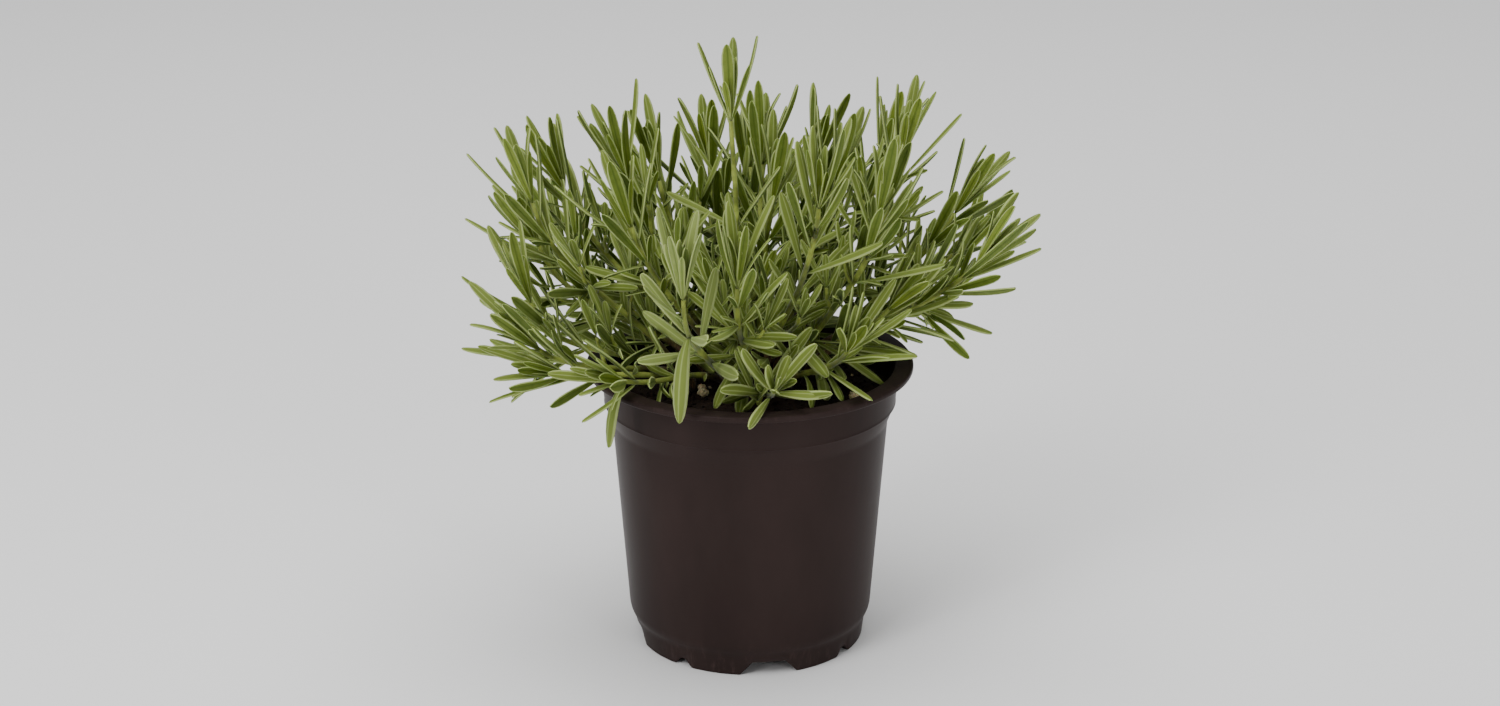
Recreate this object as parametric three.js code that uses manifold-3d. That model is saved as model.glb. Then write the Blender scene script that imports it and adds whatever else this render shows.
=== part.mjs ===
// Potted lavender: a young, bushy lavender in a round nursery pot.
// Millimetres, +Z up. The origin is on the pot's axis, in the plane that the pot stands on.
// The front of the plant faces -Y.

import * as THREE from "three";
import { mergeVertices } from "three/addons/utils/BufferGeometryUtils.js";
import Module from "manifold-3d";

// ---------------------------------------------------------------- driving dimensions

// Pot
const RIM_DIAMETER = 120;
const POT_HEIGHT = 107.5;
const WALL = 1.5;
const LIP_THICKNESS = 2.1;
const LIP_OVERHANG = 5.3; // how far the lip stands out past the collar
const LIP_ROUNDING = 0.7;
const COLLAR_HEIGHT = 13.4; // from the lip's underside to the step
const COLLAR_DRAFT = 1.1; // radius lost down the collar
const STEP_DEPTH = 2.7; // radius lost at the step under the collar
const STEP_HEIGHT = 6;
const BODY_DRAFT = 5.6; // radius lost down the body
const FOOT_HEIGHT = 10.4;
const FOOT_INSET = 1.8; // how far the foot ring stands in from the body
const FOOT_DRAFT = 1;
const FOOT_WIDTH = 2.4; // thickness of the foot ring
const FOOT_ROUNDING = 0.4;
const FLOOR_ABOVE_FOOT = 0.6; // the floor's upper face, above the foot's shoulder
const FLOOR_THICKNESS = 1.8;
const DRAIN_DIAMETER = 9;
const DRAIN_CIRCLE = 60; // diameter of the circle that the drain holes lie on
const POT_SIDES = 44;

// Notches that let water out under the foot ring: four wide and four narrow, in turn
const NOTCH_COUNT = 4;
const WIDE_NOTCH = { bearing: -80.5, mouth: 22, top: 12.5, height: 5.1 };
const NARROW_NOTCH = { bearing: -35.5, mouth: 7.4, top: 2.6, height: 3 };

// Potting mix
const MIX_BELOW_RIM = 12; // rim to the edge of the mix
const MIX_CROWN = 3.5; // how much higher the middle lies
const PERLITE_SIZE = 4.6;
const BARK_LENGTH = 8;

// Plant
const BUSH_WIDTH = 202;
const BUSH_DEPTH = 178;
const BUSH_HEIGHT = 124; // above the rim
const FOOT_SPREAD = 0.27; // how far out a stem is rooted, against how far out it ends
const STEM_FOOT_DIAMETER = 2.6;
const STEM_TIP_DIAMETER = 1.7;
const LEAF_LENGTH = 33;
const LEAF_WIDTH = 4.3;
const LEAF_THICKNESS = 1.1;
const BUD_DIAMETER = 3;
const PAIR_SPACING = 15; // along a stem, from one pair of leaves to the next, low down
const TOP_SPACING = 6; // from a stem's tip down to its first pair

// Air between two pieces that rest against each other
const CLEARANCE = 0.35;

// Where each stem ends. bearing: degrees round the pot, 0 is +X and -90 is the front.
// reach: share of half the bush's width or depth. rise: share of the bush's height.
// lean: degrees from upright at the tip. spread: how far the crown opens.
// bare: length of stem under the crown that carries no leaves.
const SHOOTS = [
  { bearing: -118, reach: 0.14, rise: 0.745, lean: 6, spread: 1, bare: 26 },
  { bearing: -178, reach: 0.765, rise: 0.5, lean: 14, spread: 1 },
  { bearing: 166, reach: 0.68, rise: 0.5, lean: 22, spread: 1 },
  { bearing: 154, reach: 0.49, rise: 0.53, lean: 19, spread: 1 },
  { bearing: 134, reach: 0.47, rise: 0.49, lean: 18, spread: 1 },
  { bearing: 108, reach: 0.48, rise: 0.51, lean: 17, spread: 1 },
  { bearing: 82, reach: 0.32, rise: 0.54, lean: 14, spread: 1 },
  { bearing: 62, reach: 0.5, rise: 0.5, lean: 19, spread: 1 },
  { bearing: 46, reach: 0.69, rise: 0.5, lean: 23, spread: 1 },
  { bearing: -57, reach: 0.43, rise: 0.55, lean: 8, spread: 1 },
  { bearing: 4, reach: 0.53, rise: 0.6, lean: 8, spread: 1 },
  { bearing: 14, reach: 0.75, rise: 0.43, lean: 35, spread: 1 },
  { bearing: -3, reach: 0.79, rise: 0.33, lean: 44, spread: 1 },
  { bearing: -28, reach: 0.5, rise: 0.5, lean: 8, spread: 1 },
  { bearing: 176, reach: 0.75, rise: 0.36, lean: 22, spread: 1 },
  { bearing: -110, reach: 0.66, rise: 0.355, lean: 6, spread: 1 },
  { bearing: -95, reach: 0.5, rise: 0.36, lean: 8, spread: 1 },
  { bearing: -170, reach: 0.785, rise: 0.24, lean: 16, spread: 1 },
  { bearing: 90, reach: 0.7, rise: 0.46, lean: 24, spread: 1 },
  { bearing: -156, reach: 0.45, rise: 0.47, lean: 16, spread: 1 },
  { bearing: 34, reach: 0.37, rise: 0.52, lean: 16, spread: 1 },
  { bearing: -14, reach: 0.5, rise: 0.23, lean: 38, spread: 1.2 },
  { bearing: -160, reach: 0.78, rise: 0.15, lean: 50, spread: 1 },
  { bearing: -153, reach: 0.72, rise: 0.1, lean: 75, spread: 1.2 },
  { bearing: -82, reach: 0.58, rise: 0.11, lean: 50, spread: 2.2 },
  { bearing: -48, reach: 0.5, rise: 0.17, lean: 36, spread: 1.5 },
  { bearing: -134, reach: 0.62, rise: 0.11, lean: 68, spread: 1.5 },
  { bearing: 20, reach: 0.08, rise: 0.5, lean: 8, spread: 1 },
  { bearing: 120, reach: 0.765, rise: 0.33, lean: 27, spread: 1 },
  { bearing: 66, reach: 0.76, rise: 0.34, lean: 29, spread: 1 },
  { bearing: 146, reach: 0.83, rise: 0.29, lean: 34, spread: 1 },
  { bearing: 30, reach: 0.885, rise: 0.24, lean: 38, spread: 1 },
  { bearing: 100, reach: 0.62, rise: 0.12, lean: 50, spread: 1.2 },
];

// The crowns of the first shoots, their young leaves and bud, are pieces of their own
const OWN_CROWNS = 19;

// Loose grains on the mix: bearing, distance from the axis as a share of the mix's radius, turn
const PERLITE = [
  { bearing: -143, out: 0.41, turn: 10 },
  { bearing: -60, out: 0.84, turn: 75 },
  { bearing: -20, out: 0.78, turn: 130 },
  { bearing: 128, out: 0.76, turn: 40 },
];
const BARK = [
  { bearing: -128, out: 0.8, turn: 35 },
  { bearing: 60, out: 0.8, turn: 100 },
];

// ---------------------------------------------------------------- sizes that follow

const rimRadius = RIM_DIAMETER / 2;
const collarRadius = rimRadius - LIP_OVERHANG;
const stepRadius = collarRadius - COLLAR_DRAFT;
const bodyRadius = stepRadius - STEP_DEPTH;
const baseRadius = bodyRadius - BODY_DRAFT;
const footRadius = baseRadius - FOOT_INSET;
const lipUnderside = POT_HEIGHT - LIP_THICKNESS;
const stepTop = lipUnderside - COLLAR_HEIGHT;
const stepBottom = stepTop - STEP_HEIGHT;
const floorTop = FOOT_HEIGHT + FLOOR_ABOVE_FOOT;
const floorBottom = floorTop - FLOOR_THICKNESS;
const mixEdge = POT_HEIGHT - MIX_BELOW_RIM;
const mixRadius = collarRadius - WALL - COLLAR_DRAFT - CLEARANCE;
const bushBase = mixEdge + MIX_CROWN;
const bushRise = POT_HEIGHT + BUSH_HEIGHT - bushBase;

const UP = new THREE.Vector3(0, 0, 1);
const radians = THREE.MathUtils.degToRad;
const mixLevel = (radius) => mixEdge + MIX_CROWN * (1 - radius / mixRadius);

// An even spread of values from -1 to 1, the same on every run
const STRIDES = [2, 3, 5, 7, 11].map(Math.sqrt);
function vary(seed, kind) {
  const turn = (seed + 1) * STRIDES[kind];
  return 2 * (turn - Math.floor(turn)) - 1;
}

// ---------------------------------------------------------------- solids

const wasm = await Module();
wasm.setup();

function signedVolume(position, triangles) {
  const corner = [new THREE.Vector3(), new THREE.Vector3(), new THREE.Vector3()];
  let sum = 0;
  for (let i = 0; i < triangles.length; i += 3) {
    corner.forEach((point, k) => point.fromBufferAttribute(position, triangles[i + k]));
    sum += corner[0].dot(corner[1].cross(corner[2]));
  }
  return sum;
}

// A closed solid from a geometry: its shared vertices welded, its faces pointing out
function toSolid(geometry) {
  geometry.deleteAttribute("normal");
  geometry.deleteAttribute("uv");
  const welded = mergeVertices(geometry, 1e-4);
  const position = welded.getAttribute("position");
  const triangles = [];
  for (let i = 0; i < welded.index.count; i += 3) {
    const [a, b, c] = welded.index.array.slice(i, i + 3);
    if (a !== b && b !== c && c !== a) triangles.push(a, b, c);
  }
  if (signedVolume(position, triangles) < 0) triangles.reverse();
  return new wasm.Manifold(new wasm.Mesh({
    numProp: 3,
    vertProperties: Float32Array.from(position.array),
    triVerts: Uint32Array.from(triangles),
  }));
}

function toMesh(name, solid, material) {
  const surface = solid.getMesh();
  const geometry = new THREE.BufferGeometry();
  geometry.setAttribute("position", new THREE.BufferAttribute(surface.vertProperties, 3));
  geometry.setIndex(new THREE.BufferAttribute(surface.triVerts, 1));
  geometry.computeVertexNormals();
  const mesh = new THREE.Mesh(geometry, material);
  mesh.name = name;
  return mesh;
}

const join = (solids) => solids.reduce((whole, piece) => whole.add(piece));

function turned(profile) {
  const outline = profile.map(([radius, height]) => new THREE.Vector2(radius, height));
  return toSolid(new THREE.LatheGeometry(outline, POT_SIDES).rotateX(Math.PI / 2));
}

// ---------------------------------------------------------------- pot

function potBlank() {
  const rounding = LIP_ROUNDING;
  return turned([
    [0, floorBottom],
    [footRadius - FOOT_WIDTH, floorBottom],
    [footRadius - FOOT_DRAFT - FOOT_WIDTH + FOOT_ROUNDING, 0],
    [footRadius - FOOT_DRAFT - FOOT_ROUNDING, 0],
    [footRadius - FOOT_DRAFT, FOOT_ROUNDING],
    [footRadius, FOOT_HEIGHT - FOOT_INSET / 2],
    [baseRadius, FOOT_HEIGHT],
    [bodyRadius, stepBottom],
    [stepRadius, stepTop],
    [collarRadius, lipUnderside],
    [rimRadius - rounding, lipUnderside],
    [rimRadius, lipUnderside + rounding],
    [rimRadius, POT_HEIGHT - rounding],
    [rimRadius - rounding, POT_HEIGHT],
    [collarRadius - WALL + rounding, POT_HEIGHT],
    [collarRadius - WALL, POT_HEIGHT - rounding],
    [stepRadius - WALL, stepTop],
    [bodyRadius - WALL, stepBottom],
    [baseRadius - WALL, floorTop],
    [0, floorTop],
  ]);
}

// A notch right through the foot ring, open at the bottom
function notch({ bearing, mouth, top, height }) {
  const section = new THREE.Shape([
    new THREE.Vector2(-mouth / 2 - WALL, -WALL),
    new THREE.Vector2(mouth / 2 + WALL, -WALL),
    new THREE.Vector2(mouth / 2, 0),
    new THREE.Vector2(top / 2, height),
    new THREE.Vector2(-top / 2, height),
    new THREE.Vector2(-mouth / 2, 0),
  ]);
  const reach = FOOT_WIDTH * 4;
  const cutter = new THREE.ExtrudeGeometry(section, { depth: reach, bevelEnabled: false });
  cutter.rotateX(Math.PI / 2);
  cutter.translate(0, -(footRadius - reach / 2 - FOOT_WIDTH / 2), 0);
  cutter.rotateZ(radians(bearing + 90));
  return toSolid(cutter);
}

function drainHole(bearing) {
  const hole = new THREE.CylinderGeometry(DRAIN_DIAMETER / 2, DRAIN_DIAMETER / 2, floorTop * 2, 20);
  hole.rotateX(Math.PI / 2);
  hole.translate(DRAIN_CIRCLE / 2, 0, floorTop);
  hole.rotateZ(radians(bearing));
  return toSolid(hole);
}

function nurseryPot() {
  let pot = potBlank();
  for (let i = 0; i < NOTCH_COUNT; i += 1) {
    const turn = (360 / NOTCH_COUNT) * i;
    pot = pot.subtract(notch({ ...WIDE_NOTCH, bearing: WIDE_NOTCH.bearing + turn }));
    pot = pot.subtract(notch({ ...NARROW_NOTCH, bearing: NARROW_NOTCH.bearing + turn }));
    pot = pot.subtract(drainHole(WIDE_NOTCH.bearing + turn));
  }
  return pot;
}

// ---------------------------------------------------------------- potting mix

function pottingMix() {
  const gap = WALL + CLEARANCE;
  return turned([
    [0, floorTop + CLEARANCE],
    [baseRadius - gap, floorTop + CLEARANCE],
    [bodyRadius - gap, stepBottom],
    [stepRadius - gap, stepTop],
    [mixRadius, mixEdge],
    [0, bushBase],
  ]);
}

// Sets a loose grain down on the mix and keeps its room clear of leaves. half is half its length
// and thick is half its width.
function settle(geometry, { bearing, out, turn }, half, thick) {
  geometry.rotateZ(radians(turn));
  geometry.computeBoundingBox();
  const radius = mixRadius * out;
  const x = radius * Math.cos(radians(bearing));
  const y = radius * Math.sin(radians(bearing));
  const slope = (MIX_CROWN / mixRadius) * geometry.boundingBox.max.length();
  const z = mixLevel(radius) + CLEARANCE + slope / 2 - geometry.boundingBox.min.z;
  const way = new THREE.Vector3(Math.cos(radians(turn)), Math.sin(radians(turn)), 0);
  occupy("grains", [-1, -1 / 3, 1 / 3, 1].map((share) => ({
    centre: new THREE.Vector3(x, y, z).addScaledVector(way, share * (half - thick)),
    radius: thick,
  })));
  return toSolid(geometry.translate(x, y, z));
}

function perliteGrain(place) {
  const grain = new THREE.IcosahedronGeometry(PERLITE_SIZE / 2);
  grain.scale(1, 0.85, 0.7);
  return settle(grain, place, PERLITE_SIZE / 2, PERLITE_SIZE / 2);
}

function barkChip(place) {
  const chip = new THREE.CylinderGeometry(0.22, 0.3, 1, 6);
  chip.rotateZ(Math.PI / 2);
  chip.scale(BARK_LENGTH, BARK_LENGTH, BARK_LENGTH * 0.5);
  return settle(chip, place, BARK_LENGTH / 2, BARK_LENGTH * 0.3);
}

// ---------------------------------------------------------------- plant: shapes

// Bends a geometry that stands along +Y from -half to +half so that it follows a curve.
// across is the direction of its X, and size(t) scales its section.
function bend(geometry, half, curve, across, size) {
  const position = geometry.getAttribute("position");
  const point = new THREE.Vector3();
  for (let i = 0; i < position.count; i += 1) {
    const t = (position.getY(i) / half + 1) / 2;
    const normal = new THREE.Vector3().crossVectors(across, curve.getTangent(t)).normalize();
    const [width, thickness] = size(t);
    point.copy(curve.getPoint(t));
    point.addScaledVector(across, position.getX(i) * width);
    point.addScaledVector(normal, position.getZ(i) * thickness);
    position.setXYZ(i, point.x, point.y, point.z);
  }
  return geometry;
}

// A leaf is a narrow three-sided lens: flat above, keeled below along its midrib
function leafSolid({ curve, across, width }) {
  const blank = new THREE.SphereGeometry(1, 3, 3, Math.PI / 2);
  return toSolid(bend(blank, 1, curve, across, () => [width / 1.5, LEAF_THICKNESS]));
}

function stemSolid({ curve, across }) {
  const blank = new THREE.CylinderGeometry(STEM_TIP_DIAMETER / 2, STEM_FOOT_DIAMETER / 2, 1, 4, 8);
  return toSolid(bend(blank, 0.5, curve, across, () => [1, 1]));
}

// The bud that a crown's leaves grow from: a short tapered block, flat where it faces its stem
function budSolid(centre, along) {
  const bud = new THREE.CylinderGeometry(BUD_DIAMETER * 0.3, BUD_DIAMETER / 2, BUD_DIAMETER, 4);
  bud.applyQuaternion(new THREE.Quaternion().setFromUnitVectors(new THREE.Vector3(0, 1, 0), along));
  return toSolid(bud.translate(centre.x, centre.y, centre.z));
}

// ---------------------------------------------------------------- plant: where things grow

// The curve of a stem, from its foot on the mix up, outwards and up again to its tip
function stemOf(shoot, index) {
  const bearing = radians(shoot.bearing);
  const outward = new THREE.Vector3(Math.cos(bearing), Math.sin(bearing), 0);
  const tip = new THREE.Vector3(outward.x * BUSH_WIDTH / 2, outward.y * BUSH_DEPTH / 2, 0);
  tip.multiplyScalar(shoot.reach);
  const foot = tip.clone().multiplyScalar(FOOT_SPREAD * (1 + 0.35 * vary(index, 0)));
  foot.z = mixLevel(foot.length()) + CLEARANCE;
  tip.z = bushBase + bushRise * shoot.rise;
  const span = foot.distanceTo(tip);
  const ankle = foot.clone().addScaledVector(UP, span * 0.25);
  const knee = tip.clone().addScaledVector(outward, -Math.sin(radians(shoot.lean)) * span * 0.36);
  knee.addScaledVector(UP, -Math.cos(radians(shoot.lean)) * span * 0.36);
  const curve = new THREE.CubicBezierCurve3(foot, ankle, knee, tip);
  const across = new THREE.Vector3().crossVectors(UP, outward);
  return { curve, across, length: curve.getLength() };
}

// A leaf at share t of a stem's length. roll turns it round the stem, lean is its angle from the stem,
// curl bends its outer half further out and lift raises it towards the light.
function leafOn(stem, t, { roll, lean, curl, lift, length, width, base }) {
  const along = stem.curve.getTangentAt(t);
  const upper = new THREE.Vector3().crossVectors(stem.across, along).normalize();
  const out = stem.across.clone().multiplyScalar(Math.cos(radians(roll)));
  out.addScaledVector(upper, Math.sin(radians(roll)));
  const heading = (angle) => {
    const way = along.clone().multiplyScalar(Math.cos(radians(angle)));
    way.addScaledVector(out, Math.sin(radians(angle)));
    return way.addScaledVector(UP, lift).normalize();
  };
  const start = base ?? stem.curve.getPointAt(t);
  const middle = start.clone().addScaledVector(heading(lean), length / 2);
  const tip = middle.clone().addScaledVector(heading(lean + curl), length / 2);
  const across = new THREE.Vector3().crossVectors(along, out).normalize();
  return { curve: new THREE.QuadraticBezierCurve3(start, middle, tip), across, length, width };
}

// ---------------------------------------------------------------- plant: keeping clear

// Spheres that fill the pieces placed so far, in a grid, each with the piece it belongs to
const CELL = 4;
const grid = new Map();
const cellOf = (point) => point.toArray().map((value) => Math.floor(value / CELL));

function occupy(owner, spheres) {
  for (const sphere of spheres) {
    const key = cellOf(sphere.centre).join();
    if (!grid.has(key)) grid.set(key, []);
    grid.get(key).push({ ...sphere, owner });
  }
}

function neighbours(centre) {
  const [i, j, k] = cellOf(centre);
  const near = [];
  for (let a = i - 1; a <= i + 1; a += 1) {
    for (let b = j - 1; b <= j + 1; b += 1) {
      for (let c = k - 1; c <= k + 1; c += 1) near.push(...(grid.get([a, b, c].join()) ?? []));
    }
  }
  return near;
}

function inPot({ centre, radius }) {
  const room = radius + CLEARANCE;
  const out = Math.hypot(centre.x, centre.y);
  if (out < collarRadius - WALL - room) return centre.z < mixLevel(out) + room;
  return out < rimRadius + room && centre.z < POT_HEIGHT + room;
}

function isClear(owner, spheres) {
  return spheres.every((sphere) => !inPot(sphere) && neighbours(sphere.centre).every((other) => (
    other.owner === owner
    || other.centre.distanceTo(sphere.centre) > other.radius + sphere.radius + CLEARANCE
  )));
}

function stemSpheres({ curve, length }) {
  const count = Math.ceil(length / (STEM_TIP_DIAMETER * 0.8));
  const radius = STEM_FOOT_DIAMETER / 2;
  return curve.getPoints(count).map((centre) => ({ centre, radius }));
}

// Three rows of spheres under a leaf's blade, from where it leaves its stem to its tip
function leafSpheres({ curve, across, length, width }) {
  const rows = Math.ceil(length / (width * 0.4));
  const spheres = [];
  for (let row = Math.ceil(rows * 0.15); row <= rows; row += 1) {
    const t = row / rows;
    const half = (width / 2) * Math.sin(Math.PI * Math.min(0.9, Math.max(0.15, t)));
    for (const side of [-1, 0, 1]) {
      const centre = curve.getPoint(t).addScaledVector(across, side * half * 0.6);
      spheres.push({ centre, radius: half * 0.42 + LEAF_THICKNESS / 3 });
    }
  }
  return spheres;
}

// Tries a leaf as it is, then turned a little either way, then shorter. Gives null if none fits.
const TRIES = [[0, 1], [18, 1], [-18, 1], [36, 1], [-36, 1], [0, 0.75], [24, 0.75], [-24, 0.75]];
function placeLeaf(owner, stem, t, leaf) {
  for (const [turn, share] of TRIES) {
    const tried = leafOn(stem, t, { ...leaf, roll: leaf.roll + turn, length: leaf.length * share });
    const spheres = leafSpheres(tried);
    if (isClear(owner, spheres)) {
      occupy(owner, spheres);
      return tried;
    }
  }
  return null;
}

// ---------------------------------------------------------------- plant: growing

// Three pairs of young leaves round the bud at the tip, the inner ones shorter and steeper
const CROWN_PAIRS = [
  { lean: 24, curl: -4, length: 1 },
  { lean: 13, curl: 0, length: 0.9 },
  { lean: 5, curl: 3, length: 0.68 },
];

function growCrown(owner, stem, index, base, spread) {
  const leaves = [];
  const fullLength = LEAF_LENGTH * (1.28 - 0.28 * spread);
  CROWN_PAIRS.forEach((pair, level) => {
    for (const side of [0, 180]) {
      const seed = index * 37 + level * 2 + side / 180;
      leaves.push(placeLeaf(owner, stem, 1, {
        base,
        roll: side + level * 90 + 20 * vary(seed, 0) + 40 * vary(index, 2),
        lean: (pair.lean + 6 * vary(seed, 1)) * spread,
        curl: pair.curl + 9 * vary(seed, 2) * spread,
        lift: 0.05,
        length: pair.length * (fullLength + 0.12 * LEAF_LENGTH * vary(seed, 3)),
        width: LEAF_WIDTH * (0.95 + 0.14 * vary(seed, 4)),
      }));
    }
  });
  return leaves.filter(Boolean);
}

// Opposite pairs of leaves down the stem, each pair a quarter turn from the one above,
// close together near the tip and wider apart lower down
function growLeaves(owner, stem, index, bare = 0) {
  const leaves = [];
  let below = TOP_SPACING;
  for (let pair = 0; below < stem.length * 0.9; pair += 1) {
    const down = below / stem.length;
    const sides = below > bare ? [0, 180] : [];
    for (const side of sides) {
      const seed = index * 53 + pair * 2 + side / 180;
      leaves.push(placeLeaf(owner, stem, 1 - down, {
        roll: side + (pair + 1) * 90 + 22 * vary(seed, 0) + 40 * vary(index, 2),
        lean: 27 + 46 * down + (7 + 16 * down) * vary(seed, 1),
        curl: -8 + 26 * down + (13 + 22 * down) * vary(seed, 2),
        lift: 0.12 - 0.2 * down,
        length: LEAF_LENGTH * (1.04 - 0.2 * down) * (1 + 0.12 * vary(seed, 3)),
        width: LEAF_WIDTH * (0.94 + 0.24 * down) * (1 + 0.1 * vary(seed, 4)),
      }));
    }
    below += Math.min(PAIR_SPACING, TOP_SPACING + 2.4 * (pair + 1));
  }
  return leaves.filter(Boolean);
}

// ---------------------------------------------------------------- materials

const finish = (color, roughness) => new THREE.MeshStandardMaterial({ color, roughness, metalness: 0 });
const potPlastic = () => finish(0x342a29, 0.42);
const darkMix = () => finish(0x1d120c, 0.95);
const whiteGrain = () => finish(0xd8cfae, 0.85);
const bark = () => finish(0x4a3324, 0.9);
const leafGreen = () => finish(0x656e36, 0.62);
const youngGreen = () => finish(0x84905a, 0.6);

// ---------------------------------------------------------------- assembly

const group = new THREE.Group();
const label = (index) => String(index + 1).padStart(2, "0");

group.add(toMesh("nursery_pot", nurseryPot(), potPlastic()));
group.add(toMesh("potting_mix", pottingMix(), darkMix()));
PERLITE.forEach((place, i) => group.add(toMesh(`perlite_${i + 1}`, perliteGrain(place), whiteGrain())));
BARK.forEach((place, i) => group.add(toMesh(`bark_chip_${i + 1}`, barkChip(place), bark())));

const sprigs = SHOOTS.map((shoot, index) => {
  const stem = stemOf(shoot, index);
  const sprig = `sprig_${label(index)}`;
  occupy(sprig, stemSpheres(stem));
  return { shoot, index, stem, sprig, ownCrown: index < OWN_CROWNS };
});

for (const grown of sprigs) {
  const { shoot, index, stem, sprig, ownCrown } = grown;
  const along = stem.curve.getTangent(1);
  const budRise = ownCrown ? BUD_DIAMETER / 2 + CLEARANCE : 0;
  const bud = stem.curve.getPoint(1).addScaledVector(along, budRise);
  const crown = `crown_${label(index)}`;
  const young = growCrown(ownCrown ? crown : sprig, stem, index, bud, shoot.spread).map(leafSolid);
  grown.young = [budSolid(bud, along), ...young];
  if (ownCrown) group.add(toMesh(crown, join(grown.young), youngGreen()));
}

for (const { shoot, index, stem, sprig, ownCrown, young } of sprigs) {
  const leaves = growLeaves(sprig, stem, index, shoot.bare).map(leafSolid);
  const pieces = [stemSolid(stem), ...leaves, ...(ownCrown ? [] : young)];
  group.add(toMesh(sprig, join(pieces), leafGreen()));
}

export default group;
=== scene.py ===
"""A young lavender in a round nursery pot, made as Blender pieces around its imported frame.

Lengths in the growing rules are millimetres, as a gardener would give them. Every mesh is in metres.
The front of the plant faces -Y.
"""

import functools
import itertools
import math
import random
from collections import namedtuple

import bmesh
import bpy
from bpy.props import FloatProperty, FloatVectorProperty, IntProperty, PointerProperty
from mathutils import Matrix, Vector, noise


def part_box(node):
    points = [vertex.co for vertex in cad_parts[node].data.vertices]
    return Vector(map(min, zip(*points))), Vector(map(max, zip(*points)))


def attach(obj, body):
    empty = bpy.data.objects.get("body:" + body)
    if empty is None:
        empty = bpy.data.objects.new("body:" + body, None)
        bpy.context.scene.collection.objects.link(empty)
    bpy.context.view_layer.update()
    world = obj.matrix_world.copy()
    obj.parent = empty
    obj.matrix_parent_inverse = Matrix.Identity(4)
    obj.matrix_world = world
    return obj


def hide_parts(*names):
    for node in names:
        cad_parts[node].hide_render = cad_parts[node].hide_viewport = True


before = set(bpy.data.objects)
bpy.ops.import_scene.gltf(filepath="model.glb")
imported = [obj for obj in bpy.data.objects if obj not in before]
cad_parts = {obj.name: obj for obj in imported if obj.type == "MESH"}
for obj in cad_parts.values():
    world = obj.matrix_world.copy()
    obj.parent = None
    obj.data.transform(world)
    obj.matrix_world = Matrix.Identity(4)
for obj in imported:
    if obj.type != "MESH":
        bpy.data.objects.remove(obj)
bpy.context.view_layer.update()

bl_info = {
    "name": "Potted Lavender",
    "version": (1, 0, 0),
    "blender": (4, 5, 0),
    "location": "View3D > Sidebar > Lavender",
    "description": "Builds a young lavender in its nursery pot around a packed frame",
    "category": "Object",
}

MM = 0.001
UP = Vector((0, 0, 1))
POT_LOW, POT_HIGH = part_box("nursery_pot")
MIX_LOW, MIX_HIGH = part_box("potting_mix")

# Air between two pieces that rest against each other, mm
CLEARANCE = 0.35


# ---------------------------------------------------------------- sizes and colours


def length(label, description, default):
    """A length in metres that the sidebar shows."""
    return FloatProperty(
        name=label, description=description, default=default, min=0, unit="LENGTH", precision=5
    )


def colour(label, description, default):
    """A colour, as linear red, green and blue."""
    return FloatVectorProperty(
        name=label, description=description, default=default, size=3, min=0, max=1, subtype="COLOR"
    )


class PotSettings(bpy.types.PropertyGroup):
    """Sizes and colour of the nursery pot"""

    rim_radius: length("Rim radius", "From the axis to the edge of the lip", POT_HIGH.x)
    height: length("Height", "From the ground to the top of the lip", POT_HIGH.z)
    wall: length("Wall", "Thickness of the moulded wall", 1.5 * MM)
    lip: length("Lip", "Thickness of the turned-out lip", 2.1 * MM)
    overhang: length("Overhang", "How far the lip stands out past the collar", 5.3 * MM)
    collar: length("Collar", "Height of the collar under the lip", 13.4 * MM)
    step: length("Step", "Radius lost at the step under the collar", 2.7 * MM)
    foot: length("Foot", "Height of the foot ring's shoulder", 10.4 * MM)
    colour: colour("Plastic", "Black-brown moulded plastic", (0.0290, 0.0190, 0.0175))


class MixSettings(bpy.types.PropertyGroup):
    """The potting mix and what lies on it"""

    crumbs: IntProperty(name="Crumbs", description="Loose crumbs of peat", default=620, min=0)
    fines: IntProperty(name="Fines", description="Small perlite grains", default=26, min=0)
    fibres: IntProperty(name="Fibres", description="Fine dry roots", default=46, min=0)
    dark: colour("Dark", "Moist peat", (0.0065, 0.0034, 0.0022))
    light: colour("Light", "Drier crumbs", (0.042, 0.022, 0.012))
    grain: colour("Grain", "Perlite", (1.0, 0.84, 0.50))


class PlantSettings(bpy.types.PropertyGroup):
    """Sizes and colours of the lavender"""

    leaf_length: length("Leaf length", "A full-grown leaf", 33 * MM)
    leaf_width: length("Leaf width", "A full-grown leaf at its widest", 4.3 * MM)
    leaf_thickness: length("Leaf thickness", "At the midrib", 1.1 * MM)
    pair_spacing: length("Pair spacing", "Along a stem, from pair to pair", 15 * MM)
    stem_foot: length("Stem foot", "Diameter where a stem leaves the mix", 2.6 * MM)
    stem_tip: length("Stem tip", "Diameter under the crown", 1.7 * MM)
    # Partly painted shade: besides being the colour of old leaves, this darker green goes on the low
    # leaves inside the bush to stand in for the shade there.
    deep: colour("Deep green", "Old leaves low down", (0.040, 0.078, 0.002))
    green: colour("Green", "Most leaves", (0.090, 0.135, 0.003))
    bright: colour("Bright green", "Young leaves", (0.165, 0.222, 0.006))
    felt: colour("Felt", "Grey down on margins and young leaves", (0.32, 0.385, 0.14))
    margin: colour("Margin", "The pale rolled edge of a leaf", (0.42, 0.50, 0.185))
    under: colour("Underside", "Grey felt under a leaf", (0.145, 0.190, 0.026))
    stem: colour("Stem", "Young green stem", (0.27, 0.33, 0.045))
    wood: colour("Wood", "Old foot of a stem", (0.12, 0.07, 0.03))


class StageSettings(bpy.types.PropertyGroup):
    """Camera, floor and lights"""

    distance: length("Distance", "Camera in front of the pot's axis", 0.921)
    height: length("Height", "Camera above the floor", 0.440)
    aim: length("Aim", "Height on the pot's axis that the camera looks at", 0.110)
    lens: FloatProperty(name="Lens", description="Focal length in mm", default=64, min=10)
    floor: colour("Floor", "Plain pale floor", (0.86, 0.86, 0.86))
    world: FloatProperty(name="World", description="Brightness of the surroundings", default=0.22)


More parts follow.
